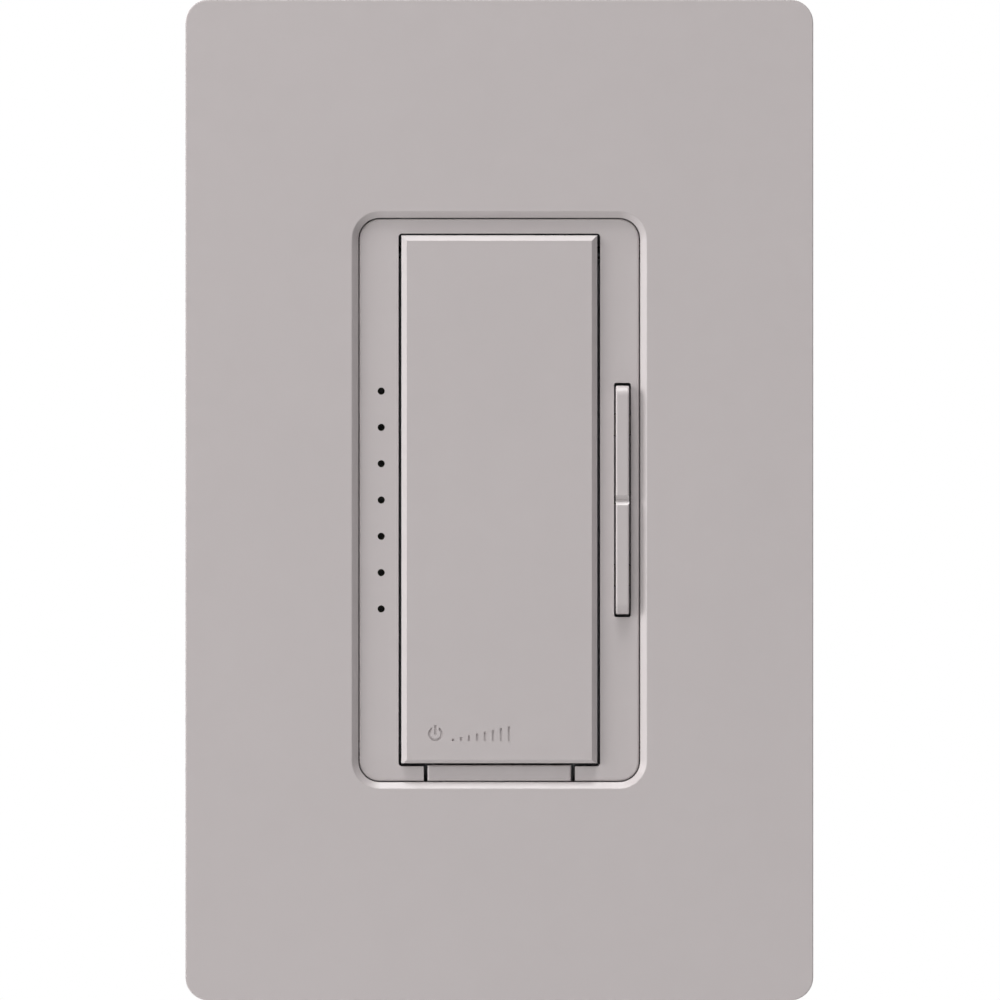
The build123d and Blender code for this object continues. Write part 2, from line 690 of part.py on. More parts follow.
# ---------------------------------------------------------------- bezel
with BuildPart() as bezel:
    with BuildSketch(level(YOKE_FRONT)):
        RectangleRounded(BEZEL_WIDTH, BEZEL_HEIGHT, BEZEL_CORNER)
    extrude(amount=BEZEL_FRONT - YOKE_FRONT)
    fillet(front_edges(bezel), BEZEL_EDGE)
    with BuildSketch(level(YOKE_FRONT)):
        RectangleRounded(APERTURE_WIDTH, APERTURE_HEIGHT, APERTURE_CORNER)
        with Locations((ROCKER_X, 0)):
            RectangleRounded(ROCKER_SLOT_WIDTH, 2 * ROCKER_SLOT_HALF, ROCKER_SLOT_CORNER)
        # one bore for each tip of the light pipe
        with Locations((LED_X, 0)):
            with GridLocations(0, LED_PITCH, 1, LED_COUNT):
                Circle(LED_BORE)
    extrude(amount=BEZEL_FRONT - YOKE_FRONT, mode=Mode.SUBTRACT)
    # the service tab's way out, open at the bottom edge
    block(
        -NOTCH_HALF, NOTCH_HALF, -BEZEL_HEIGHT / 2 - 1, -APERTURE_HEIGHT / 2 + 1, 0, FAR, Mode.SUBTRACT
    )
    # channel for the light pipe's bar
    slab(
        LED_X, 0, 2 * (PIPE_BAR_HALF + CHANNEL_GAP), 2 * (PIPE_BAR_TALL + CHANNEL_GAP),
        0, CHANNEL_FRONT, Mode.SUBTRACT,
    )
    # pin saddles, open at the back: the rocker's, then the paddle's
    saddle = ROCKER_PIN_RADIUS + CLEAR
    left, right = ROCKER_PIN_START - 2 * CLEAR, ROCKER_PIN_END + 2 * CLEAR
    bar(left, right, ROCKER_PIVOT_LEVEL, 0, saddle, Mode.SUBTRACT)
    block(left, right, -saddle, saddle, 0, ROCKER_PIVOT_LEVEL, Mode.SUBTRACT)
    saddle = HINGE_PIN_RADIUS + CLEAR
    reach = HINGE_PIN_END + 2 * CLEAR
    bar(-reach, reach, HINGE_LEVEL, HINGE_Z, saddle, Mode.SUBTRACT)
    slab(0, HINGE_Z, 2 * reach, 2 * saddle, 0, HINGE_LEVEL, Mode.SUBTRACT)
    # clip legs that grip the yoke from behind
    for side in (-1, 1):
        for end in (-1, 1):
            low, high = end * CLIP_Z - CLIP_HALF, end * CLIP_Z + CLIP_HALF
            near, far = CLIP_X + CLIP_LEG[0], CLIP_X + CLIP_LEG[1]
            side_block(side, near, far, low, high, CLIP_BACK, YOKE_FRONT + ROOT)
            near, far = CLIP_X + CLIP_BARB[0], CLIP_X + CLIP_BARB[1]
            side_block(side, near, far, low, high, CLIP_BACK, CLIP_BARB_FRONT)

# ---------------------------------------------------------------- paddle
with BuildPart() as paddle:
    paddle_low = PADDLE_MID_Z - PADDLE_HEIGHT / 2
    paddle_high = PADDLE_MID_Z + PADDLE_HEIGHT / 2
    inner = PADDLE_WIDTH / 2 - PADDLE_WALL
    block(-PADDLE_WIDTH / 2, PADDLE_WIDTH / 2, paddle_low, paddle_high, PADDLE_BACK, PADDLE_FRONT)
    chamfer(front_edges(paddle).sort_by(Axis.Z)[1:], PADDLE_BEVEL)
    chamfer(front_edges(paddle).sort_by(Axis.Z)[0], PADDLE_BEVEL_LOW)
    block(
        -inner, inner, paddle_low + PADDLE_WALL, paddle_high - PADDLE_WALL,
        PADDLE_BACK - 1, PADDLE_UNDERSIDE, Mode.SUBTRACT,
    )
    for side in (-1, 1):
        slab(side * PADDLE_RIB_X, PADDLE_MID_Z, PADDLE_RIB, PADDLE_HEIGHT - 1, PADDLE_BACK, PADDLE_UNDERSIDE)
    for rib_z in PADDLE_RIB_Z:
        slab(0, rib_z, 2 * inner + 1, PADDLE_RIB, PADDLE_CROSS_BACK, PADDLE_UNDERSIDE)
    bar(-PADDLE_WIDTH, PADDLE_WIDTH, HINGE_LEVEL, HINGE_Z, HINGE_PIN_RADIUS + CLEAR, Mode.SUBTRACT)
    turned(0, TAP_Z, [(0, TAP_POST[0][1]), *TAP_POST, (0, TAP_POST[-1][1])])
    post(0, SPRING_Z, SPRING_STUD, SPRING_STUD_BACK, PADDLE_UNDERSIDE + CLEAR)
    # shallow engraved marks: an on/off ring, and a row of bars that grow taller
    with BuildSketch(level(PADDLE_FRONT - MARK_DEPTH)):
        with Locations((RING_X, RING_Z)):
            Circle(RING_RADIUS)
            Circle(RING_RADIUS - MARK_LINE, mode=Mode.SUBTRACT)
            with Locations((0, RING_RADIUS)):
                Rectangle(3 * MARK_LINE, RING_RADIUS, mode=Mode.SUBTRACT)
            with Locations((0, RING_RADIUS - 1.5 * MARK_LINE)):
                Rectangle(MARK_LINE, RING_RADIUS + MARK_LINE)
        for index in range(STEP_COUNT):
            tall = STEP_SHORTEST + index * STEP_RISE
            with Locations((STEP_X + index * STEP_PITCH, STEP_Z + tall / 2)):
                Rectangle(MARK_LINE, tall)
    extrude(amount=1.0, mode=Mode.SUBTRACT)

with BuildPart() as paddle_hinge_pin:
    bar(-HINGE_PIN_END, HINGE_PIN_END, HINGE_LEVEL, HINGE_Z, HINGE_PIN_RADIUS)
    chamfer(paddle_hinge_pin.faces().filter_by(GeomType.PLANE).edges(), PIN_BREAK)

# the coil spring's envelope
with BuildPart() as paddle_return_spring:
    post(0, SPRING_Z, SPRING_OUTSIDE, YOKE_FRONT + CLEAR, PADDLE_UNDERSIDE - CLEAR)
    post(0, SPRING_Z, SPRING_OUTSIDE - SPRING_WIRE, YOKE_FRONT, PADDLE_UNDERSIDE, Mode.SUBTRACT)

# ---------------------------------------------------------------- rocker
with BuildPart() as dimming_rocker:
    with BuildSketch(Plane.YZ.offset(ROCKER_X - ROCKER_WIDTH / 2)):
        with BuildLine():
            Polyline(
                (-ROCKER_BACK, -ROCKER_HALF), (-ROCKER_FRONT, -ROCKER_HALF),
                (-ROCKER_FRONT, -GROOVE_HALF), (-ROCKER_FRONT + GROOVE_DEPTH, 0),
                (-ROCKER_FRONT, GROOVE_HALF), (-ROCKER_FRONT, ROCKER_HALF),
                (-ROCKER_BACK, ROCKER_HALF), close=True,
            )
        make_face()
    extrude(amount=ROCKER_WIDTH)
    ends = dimming_rocker.edges().filter_by(Axis.X).group_by(Axis.Y)[0].sort_by(Axis.Z)
    fillet([ends[0], ends[-1]], ROCKER_END)
    front_faces = dimming_rocker.faces().filter_by(Axis.Y).sort_by(Axis.Y)[:2]
    fillet(front_faces.edges().filter_by(Axis.Z), ROCKER_EDGE)
    for side in (-1, 1):
        slab(
            ROCKER_X, side * ROCKER_POST_Z, ROCKER_WIDTH, 2 * ROCKER_POST_HALF, ROCKER_POST_TIP, ROCKER_BACK
        )
    bar(
        ROCKER_X - 1, ROCKER_X + 1, ROCKER_PIVOT_LEVEL, 0, ROCKER_PIN_RADIUS + CLEAR, Mode.SUBTRACT
    )

with BuildPart() as rocker_pivot_pin:
    bar(ROCKER_PIN_START, ROCKER_PIN_END, ROCKER_PIVOT_LEVEL, 0, ROCKER_PIN_RADIUS)

# ---------------------------------------------------------------- light pipe
with BuildPart() as light_pipe:
    slab(LED_X, 0, 2 * PIPE_BAR_HALF, 2 * PIPE_BAR_TALL, PIPE_BAR_BACK, CHANNEL_FRONT - 2 * CLEAR)
    for index in range(LED_COUNT):
        pipe_z = (index - (LED_COUNT - 1) / 2) * LED_PITCH
        post(LED_X, pipe_z, LED_TIP, PIPE_BAR_BACK, PIPE_FRONT)
        post(LED_X, pipe_z, PIPE_LEG, PIPE_BACK, PIPE_BAR_BACK)

# ---------------------------------------------------------------- service switch
with BuildPart() as service_switch_slider:
    block(-TAB_HALF, TAB_HALF, TAB_BOTTOM, TAB_TOP, TAB_BACK, BEZEL_FRONT)
    fillet(front_edges(service_switch_slider), TAB_EDGE)
    # finger groove along the lower edge
    block(
        -GRIP_HALF, GRIP_HALF, TAB_BOTTOM - 1, TAB_BOTTOM + GRIP_DEPTH, *GRIP_LEVELS, Mode.SUBTRACT
    )
    block(-STEM_HALF, STEM_HALF, STEM_BOTTOM, STEM_TOP, STEM_END, TAB_BACK)
    block(
        -STEM_SHOULDER, STEM_SHOULDER, STEM_BOTTOM, STEM_TOP, STEM_SHOULDER_BACK, STEM_SHOULDER_FRONT
    )

# spring leaf with a rolled root, and a contact button near its free end
with BuildPart() as service_contact_leaf:
    block(LEAF_ROOT, LEAF_END, LEAF_LOW, LEAF_HIGH, LEAF_BACK, LEAF_FRONT)
    post(CONTACT_X, CONTACT_Z, CONTACT_RADIUS, LEAF_BACK - CONTACT_TALL, LEAF_BACK)
    with BuildSketch(Plane.XY.offset(LEAF_LOW)) as roll:
        with Locations((LEAF_ROOT, -(LEAF_BACK + LEAF_FRONT) / 2)):
            Circle(LEAF_ROLL)
    extrude(roll.sketch, amount=LEAF_HIGH - LEAF_LOW)

with BuildPart() as service_contact_base:
    block(LEAF_BASE_START, LEAF_BASE_END, LEAF_LOW, LEAF_HIGH, LEAF_BASE_BACK, LEAF_FRONT)
    block(LEAF_BASE_START, LEAF_BASE_END, LEAF_HIGH - LEG_THICK, LEAF_HIGH, PARTS_SEAT, LEAF_BACK)

with BuildPart() as service_fixed_contact:
    button_front = LEAF_BACK - CONTACT_TALL - CLEAR
    plate_front = button_front - CONTACT_TALL
    left, right = CONTACT_X - FIXED_HALF, CONTACT_X + FIXED_HALF
    post(CONTACT_X, CONTACT_Z, CONTACT_RADIUS, plate_front, button_front)
    block(left, right, LEAF_LOW, LEAF_HIGH, plate_front - LEG_THICK, plate_front)
    block(left, right, LEAF_HIGH - LEG_THICK, LEAF_HIGH, PARTS_SEAT, plate_front - LEG_THICK / 2)

# ---------------------------------------------------------------- control board and its parts
with BuildPart() as control_board:
    block(-BOARD_HALF, BOARD_HALF, CONTROL_LOW, CONTROL_HIGH, CONTROL_BACK, CONTROL_FRONT)
    corner_notches(CONTROL_HIGH, CONTROL_LOW, CONTROL_BACK, CONTROL_FRONT)

with BuildPart() as tactile_switch_bodies:
    for x, z in BUTTONS:
        slab(x, z, TACT_SIZE, TACT_SIZE, CONTROL_FRONT, TACT_TOP)
        post(x, z, TACT_HOLE, TACT_FLOOR, TACT_TOP, Mode.SUBTRACT)


def plunger(x, z):
    """Push button of one tactile switch, with a softened tip."""
    turned(
        x, z,
        [
            (0, PLUNGER_TIP), (PLUNGER_RADIUS - PLUNGER_EDGE, PLUNGER_TIP),
            (PLUNGER_RADIUS, PLUNGER_TIP - PLUNGER_EDGE),
            (PLUNGER_RADIUS, PLUNGER_FOOT), (0, PLUNGER_FOOT),
        ],
    )


with BuildPart() as tap_switch_plunger:
    plunger(*BUTTONS[0])

with BuildPart() as raise_switch_plunger:
    plunger(*BUTTONS[1])

with BuildPart() as lower_switch_plunger:
    plunger(*BUTTONS[2])

with BuildPart() as indicator_leds:
    with BuildSketch(level(CONTROL_FRONT)):
        with Locations((LED_X, 0)):
            with GridLocations(0, LED_PITCH, 1, LED_COUNT):
                Rectangle(LED_WIDTH, LED_LENGTH)
    extrude(amount=LED_TALL)

with BuildPart() as microcontroller:
    slab(0, MICRO_Z, MICRO_WIDTH, MICRO_LENGTH, MICRO_BACK, MICRO_FRONT)
    for index in range(MICRO_PIN_COUNT):
        pin_z = MICRO_Z + (index - (MICRO_PIN_COUNT - 1) / 2) * MICRO_PIN_PITCH
        slab(0, pin_z, MICRO_PIN_REACH, MICRO_PIN_PITCH / 2, CONTROL_FRONT, MICRO_PIN_FRONT)

with BuildPart() as chip_components:
    with BuildSketch(level(CONTROL_FRONT)):
        with Locations(CHIP_CENTRE):
            with GridLocations(*CHIP_PITCH, *CHIP_ROWS):
                Rectangle(*CHIP_SIZE)
    extrude(amount=CHIP_TALL)

HEADER_PIN_PLACES = [
    (HEADER_X, HEADER_Z + (index - (HEADER_COUNT - 1) / 2) * LEAD_PITCH) for index in range(HEADER_COUNT)
]

with BuildPart() as header_bases:
    slab(HEADER_X, HEADER_Z, HEADER_WIDTH, HEADER_LENGTH, CONTROL_BACK - HEADER_TALL, CONTROL_BACK)
    slab(HEADER_X, HEADER_Z, HEADER_WIDTH, HEADER_LENGTH, POWER_FRONT, POWER_FRONT + HEADER_TALL)
    for x, z in HEADER_PIN_PLACES:
        hole = HEADER_PIN + 2 * CLEAR
        slab(x, z, hole, hole, POWER_FRONT - 1, CONTROL_BACK + 1, Mode.SUBTRACT)

with BuildPart() as header_pins:
    for x, z in HEADER_PIN_PLACES:
        slab(x, z, HEADER_PIN, HEADER_PIN, PARTS_SEAT, CONTROL_BACK - CLEAR)

# ---------------------------------------------------------------- power board and its parts
with BuildPart() as power_board:
    block(-BOARD_HALF, BOARD_HALF, -POWER_TALL, POWER_TALL, POWER_BACK, POWER_FRONT)
    corner_notches(POWER_TALL, -POWER_TALL, POWER_BACK, POWER_FRONT)

with BuildPart() as triac:
    left, right = TRIAC_X - TRIAC_HALF, TRIAC_X + TRIAC_HALF
    block(left, right, TRIAC_STEP, TRIAC_TOP, TRIAC_TAB_BACK, TRIAC_FACE)
    block(left, right, TRIAC_LOW, TRIAC_STEP, TRIAC_BODY_BACK, TRIAC_FACE)
    post(TRIAC_X, TRIAC_HOLE_Z, TRIAC_HOLE, TRIAC_BODY_BACK, YOKE_BACK, Mode.SUBTRACT)
    for index in (-1, 0, 1):
        lead_x = TRIAC_X + index * LEAD_PITCH
        left, right = lead_x - TRIAC_LEAD_HALF, lead_x + TRIAC_LEAD_HALF
        lead_front = TRIAC_LEAD_BACK + TRIAC_LEAD_THICK
        block(left, right, TRIAC_LEAD_LOW, TRIAC_LOW + CLEAR, TRIAC_LEAD_BACK, lead_front)
        block(left, right, TRIAC_LEAD_LOW, TRIAC_LEAD_LOW + TRIAC_LEAD_THICK, PARTS_SEAT, lead_front)

with BuildPart() as triac_insulator_pad:
    block(TRIAC_X - PAD_HALF, TRIAC_X + PAD_HALF, PAD_LOW, PAD_HIGH, TRIAC_FACE + CLEAR, YOKE_BACK - CLEAR)
    post(TRIAC_X, TRIAC_HOLE_Z, TRIAC_HOLE, TRIAC_FACE, YOKE_BACK, Mode.SUBTRACT)

with BuildPart() as triac_screw:
    countersunk_screw(
        TRIAC_X, TRIAC_HOLE_Z, TRIAC_SCREW_HEAD, YOKE_FRONT - HEAD_RECESS, TRIAC_SCREW_RADIUS, TRIAC_SCREW_END
    )

with BuildPart() as triac_nut:
    with BuildSketch(level(NUT_BACK)):
        with Locations((TRIAC_X, TRIAC_HOLE_Z)):
            RegularPolygon(NUT_RADIUS, 6)
            Circle(TRIAC_SCREW_RADIUS + CLEAR, mode=Mode.SUBTRACT)
    extrude(amount=NUT_FRONT - NUT_BACK)

with BuildPart() as choke_core:
    turned(
        CHOKE_X, CHOKE_Z,
        [
            (CHOKE_INNER, CHOKE_FRONT), (CHOKE_OUTER, CHOKE_FRONT),
            (CHOKE_OUTER, CHOKE_BACK), (CHOKE_INNER, CHOKE_BACK),
        ],
    )
    fillet(choke_core.edges(), CHOKE_EDGE)

# jacket that the turns of wire fill
with BuildPart() as choke_winding:
    with BuildSketch(Plane.XY.offset(CHOKE_Z)) as jacket:
        with Locations((CHOKE_X + (CHOKE_INNER + CHOKE_OUTER) / 2, -(CHOKE_FRONT + CHOKE_BACK) / 2)):
            core_width = CHOKE_OUTER - CHOKE_INNER + 2 * CLEAR
            core_depth = CHOKE_FRONT - CHOKE_BACK + 2 * CLEAR
            Rectangle(core_width + 2 * WINDING_THICK, core_depth + 2 * WINDING_THICK)
            Rectangle(core_width, core_depth, mode=Mode.SUBTRACT)
    revolve(
        jacket.sketch, axis=Axis((CHOKE_X, 0, CHOKE_Z), (0, 1, 0)), revolution_arc=WINDING_ARC
    )

with BuildPart() as film_capacitor:
    block(FILM_LEFT, FILM_RIGHT, FILM_LOW, FILM_HIGH, PARTS_SEAT, FILM_FRONT)
    fillet(film_capacitor.edges().filter_by(Axis.Y), FILM_EDGE)
    fillet(front_edges(film_capacitor), FILM_EDGE / 2)

with BuildPart() as electrolytic_capacitor:
    turned(
        CAN_X, CAN_Z,
        [
            (0, CAN_FRONT), (CAN_RADIUS - CAN_EDGE, CAN_FRONT), (CAN_RADIUS, CAN_FRONT - CAN_EDGE),
            (CAN_RADIUS, PARTS_SEAT), (0, PARTS_SEAT),
        ],
    )

with BuildPart() as varistor:
    with BuildSketch(Plane.XY.offset(VARISTOR_LOW)):
        with Locations((VARISTOR_X, -VARISTOR_LEVEL)):
            Circle(VARISTOR_RADIUS)
    extrude(amount=VARISTOR_THICK)
    fillet(varistor.faces().filter_by(GeomType.PLANE).edges(), VARISTOR_EDGE)

with BuildPart() as drum_inductor:
    turned(
        DRUM_X, DRUM_Z,
        [
            (0, DRUM_FRONT), (DRUM_RADIUS, DRUM_FRONT), (DRUM_RADIUS, DRUM_FRONT - DRUM_FLANGE),
            (DRUM_WAIST, DRUM_FRONT - DRUM_FLANGE), (DRUM_WAIST, PARTS_SEAT + DRUM_FLANGE),
            (DRUM_RADIUS, PARTS_SEAT + DRUM_FLANGE), (DRUM_RADIUS, PARTS_SEAT), (0, PARTS_SEAT),
        ],
    )

with BuildPart() as bridge_rectifier:
    slab(BRIDGE_X, BRIDGE_Z, BRIDGE_WIDTH, BRIDGE_LENGTH, BRIDGE_BACK, BRIDGE_FRONT)
    for side in (-1, 1):
        slab(
            BRIDGE_X + side * BRIDGE_LEG_X, BRIDGE_Z, BRIDGE_LEG_WIDTH, BRIDGE_LEG_REACH,
            PARTS_SEAT, BRIDGE_BACK + BRIDGE_LEG_WIDTH,
        )


def axial_lead(x, z):
    """Wire that runs through an axial part and out of both ends."""
    bar(x - AXIAL_LEAD_REACH, x + AXIAL_LENGTH + AXIAL_LEAD_REACH, AXIAL_LEVEL, z, AXIAL_LEAD)


with BuildPart() as fuse:
    bar(FUSE_X, FUSE_X + AXIAL_LENGTH, AXIAL_LEVEL, FUSE_Z, AXIAL_RADIUS)
    fillet(fuse.faces().filter_by(GeomType.PLANE).edges(), AXIAL_RADIUS / 3)
    axial_lead(FUSE_X, FUSE_Z)

with BuildPart() as power_resistor:
    bar(RESISTOR_X, RESISTOR_X + AXIAL_LENGTH, AXIAL_LEVEL, RESISTOR_Z, AXIAL_RADIUS)
    fillet(power_resistor.faces().filter_by(GeomType.PLANE).edges(), AXIAL_RADIUS / 3)
    axial_lead(RESISTOR_X, RESISTOR_Z)

# ---------------------------------------------------------------- insulating sheet behind the yoke
with BuildPart() as insulating_sheet:
    with BuildSketch(level(SHEET_BACK)):
        with Locations((0, SHEET_Z)):
            Rectangle(SHEET_WIDTH, SHEET_HEIGHT)
        with Locations((LED_X, 0)):
            Rectangle(PIPE_WINDOW_WIDTH, PIPE_WINDOW_HEIGHT, mode=Mode.SUBTRACT)
        with Locations(*BUTTONS):
            Circle(BUTTON_WINDOW, mode=Mode.SUBTRACT)
        with Locations((0, SHEET_NOTCH_Z)):
            Rectangle(*SHEET_NOTCH, mode=Mode.SUBTRACT)
        for side in (-1, 1):
            with Locations((side * CLIP_X, -CLIP_Z)):
                Rectangle(*SHEET_CLIP_WINDOW, mode=Mode.SUBTRACT)
            with Locations((side * HOUSING_SCREW_X, -HOUSING_SCREW_Z)):
                Rectangle(*SHEET_CORNER, mode=Mode.SUBTRACT)
    extrude(amount=SHEET_FRONT - SHEET_BACK)

# ---------------------------------------------------------------- back housing
with BuildPart() as back_housing:
    with BuildSketch(level(HOUSING_BACK)):
        RectangleRounded(HOUSING_WIDTH, HOUSING_HEIGHT, HOUSING_CORNER)
    extrude(amount=YOKE_BACK - HOUSING_BACK)
    fillet(back_housing.faces().sort_by(Axis.Y)[-1].edges(), HOUSING_EDGE)
    # lip along the yoke, and ribs on the end walls
    with BuildSketch(level(LIP_BACK)):
        RectangleRounded(LIP_WIDTH, LIP_HEIGHT, HOUSING_CORNER)
    extrude(amount=YOKE_BACK - LIP_BACK)
    for index in range(END_RIB_COUNT):
        rib_x = (index - (END_RIB_COUNT - 1) / 2) * END_RIB_PITCH
        slab(rib_x, 0, END_RIB_WALL, LIP_HEIGHT, END_RIB_BACK, LIP_BACK)
    # raised frames round the terminals
    for side, z in (*TERMINALS, BLANK_TERMINAL):
        side_block(
            side, HOUSING_WIDTH / 2 - HOUSING_WALL, LIP_WIDTH / 2,
            z - POCKET_HALF - POCKET_FRAME, z + POCKET_HALF + POCKET_FRAME,
            POCKET_BACK - POCKET_FRAME, POCKET_FRONT + POCKET_FRAME,
        )
    with BuildSketch(level(HOUSING_BACK + HOUSING_WALL)):
        Rectangle(HOUSING_WIDTH - 2 * HOUSING_WALL, HOUSING_HEIGHT - 2 * HOUSING_WALL)
    extrude(amount=YOKE_BACK - HOUSING_BACK - HOUSING_WALL, mode=Mode.SUBTRACT)
    for side in (-1, 1):
        for end in (-1, 1):
            x, z = side * HOUSING_SCREW_X, end * HOUSING_SCREW_Z
            post(x, z, BOSS_RADIUS, HOUSING_BACK + 1, YOKE_BACK)
            post(x, z, BOSS_HOLE, BOSS_FLOOR, 1, Mode.SUBTRACT)
            post(
                side * EJECTOR_X, end * EJECTOR_Z, EJECTOR_RADIUS,
                HOUSING_BACK - 1, HOUSING_BACK + MOULD_DEPTH, Mode.SUBTRACT,
            )
    # recessed pockets for the side terminals, and a shallow blank where no terminal is fitted
    wall_x = HOUSING_WIDTH / 2
    for side, z in TERMINALS:
        low, high = z - POCKET_HALF, z + POCKET_HALF
        side_block(
            side, POCKET_INSIDE, wall_x - ROOT, low - HOUSING_WALL, high + HOUSING_WALL,
            POCKET_BACK - HOUSING_WALL, CONTROL_BACK - CLEAR,
        )
        side_block(side, POCKET_FLOOR, wall_x + 1, low, high, POCKET_BACK, POCKET_FRONT, Mode.SUBTRACT)
        side_block(
            side, POCKET_INSIDE - 1, POCKET_FLOOR + 1, z - TAB_SLOT_HALF, z + TAB_SLOT_HALF,
            *TAB_SLOT_LEVELS, Mode.SUBTRACT,
        )
        side_bar(side, POCKET_INSIDE - 1, POCKET_FLOOR + 1, TERMINAL_LEVEL, z, TAB_SLOT_HALF, Mode.SUBTRACT)
    side, z = BLANK_TERMINAL
    side_block(
        side, LIP_WIDTH / 2 - BLANK_DEPTH, wall_x + 1, z - POCKET_HALF, z + POCKET_HALF,
        POCKET_BACK, POCKET_FRONT, Mode.SUBTRACT,
    )
    # recess for the label, and a wire strip gauge under it
    slab(
        0, 0, LABEL_WIDTH + 2 * LABEL_MARGIN, LABEL_HEIGHT + 2 * LABEL_MARGIN,
        HOUSING_BACK - 1, HOUSING_BACK + LABEL_RECESS, Mode.SUBTRACT,
    )
    gauge_levels = (HOUSING_BACK - 1, HOUSING_BACK + MOULD_DEPTH)
    slab(0, GAUGE_Z, GAUGE_LENGTH, GAUGE_LINE, *gauge_levels, Mode.SUBTRACT)
    for side in (-1, 1):
        slab(side * GAUGE_LENGTH / 2, GAUGE_Z, GAUGE_LINE, GAUGE_TICK, *gauge_levels, Mode.SUBTRACT)

with BuildPart() as housing_screws:
    for x in (-HOUSING_SCREW_X, HOUSING_SCREW_X):
        for z in (-HOUSING_SCREW_Z, HOUSING_SCREW_Z):
            countersunk_screw(
                x, z, HOUSING_SCREW_HEAD, YOKE_FRONT - HEAD_RECESS, HOUSING_SCREW_RADIUS, HOUSING_SCREW_END
            )


# ---------------------------------------------------------------- wiring terminals
def terminal(side, z):
    """Brass side terminal: a tapped plate in the pocket, and a tab that turns in to the power board."""
    near = POCKET_FLOOR + CLEAR
    side_block(side, near, near + BRACKET_THICK, z - BRACKET_HALF, z + BRACKET_HALF, *BRACKET_LEVELS)
    low, high = z - TERMINAL_TAB_HALF, z + TERMINAL_TAB_HALF
    side_block(side, TERMINAL_LEG_X, POCKET_FLOOR + BRACKET_THICK / 2, low, high, *TERMINAL_TAB_LEVELS)
    side_block(
        side, TERMINAL_LEG_X, TERMINAL_LEG_X + BRACKET_THICK, low, high, PARTS_SEAT, TERMINAL_TAB_LEVELS[1]
    )
    side_bar(side, near - 1, near + BRACKET_THICK + 1, TERMINAL_LEVEL, z, TERMINAL_HOLE, Mode.SUBTRACT)


with BuildPart() as line_terminal:
    terminal(*TERMINALS[0])

with BuildPart() as load_terminal:
    terminal(*TERMINALS[1])

with BuildPart() as remote_terminal:
    terminal(*TERMINALS[2])

with BuildPart() as terminal_clamps:
    for side, z in TERMINALS:
        clamp_end = CLAMP_START + CLAMP_THICK
        side_block(side, CLAMP_START, clamp_end, z - CLAMP_HALF, z + CLAMP_HALF, *CLAMP_LEVELS)
        side_bar(side, CLAMP_START - 1, clamp_end + 1, TERMINAL_LEVEL, z, CLAMP_HOLE, Mode.SUBTRACT)

with BuildPart() as terminal_screws:
    for side, z in TERMINALS:
        head_end = HEAD_START + TERMINAL_HEAD_TALL
        side_bar(side, TERMINAL_SCREW_INNER, HEAD_START, TERMINAL_LEVEL, z, TERMINAL_SCREW_RADIUS)
        side_bar(side, HEAD_START, head_end, TERMINAL_LEVEL, z, TERMINAL_HEAD)
        side_block(
            side, head_end - TERMINAL_SLOT_DEPTH, head_end + 1,
            z - BOX_SLOT_WIDTH / 2, z + BOX_SLOT_WIDTH / 2,
            TERMINAL_LEVEL - TERMINAL_HEAD - 1, TERMINAL_LEVEL + TERMINAL_HEAD + 1, Mode.SUBTRACT,
        )

with BuildPart() as ground_screw:
    turned(
        GROUND_X, GROUND_Z,
        [
            (0, YOKE_FRONT - CLEAR), (TAPPED_HOLE - CLEAR, YOKE_FRONT - CLEAR),
            (TAPPED_HOLE - CLEAR, YOKE_BACK - CLEAR), (GROUND_HEAD, YOKE_BACK - CLEAR),
            (GROUND_HEAD, GROUND_HEAD_BACK + GROUND_EDGE), (GROUND_HEAD - GROUND_EDGE, GROUND_HEAD_BACK),
            (0, GROUND_HEAD_BACK),
        ],
    )
    slab(
        GROUND_X, GROUND_Z, 3 * GROUND_HEAD, BOX_SLOT_WIDTH,
        GROUND_HEAD_BACK - 1, GROUND_SLOT_FLOOR, Mode.SUBTRACT,
    )

with BuildPart() as blank_label:
    label_front = HOUSING_BACK + LABEL_RECESS - CLEAR / 2
    slab(0, 0, LABEL_WIDTH, LABEL_HEIGHT, label_front - LABEL_THICK, label_front)

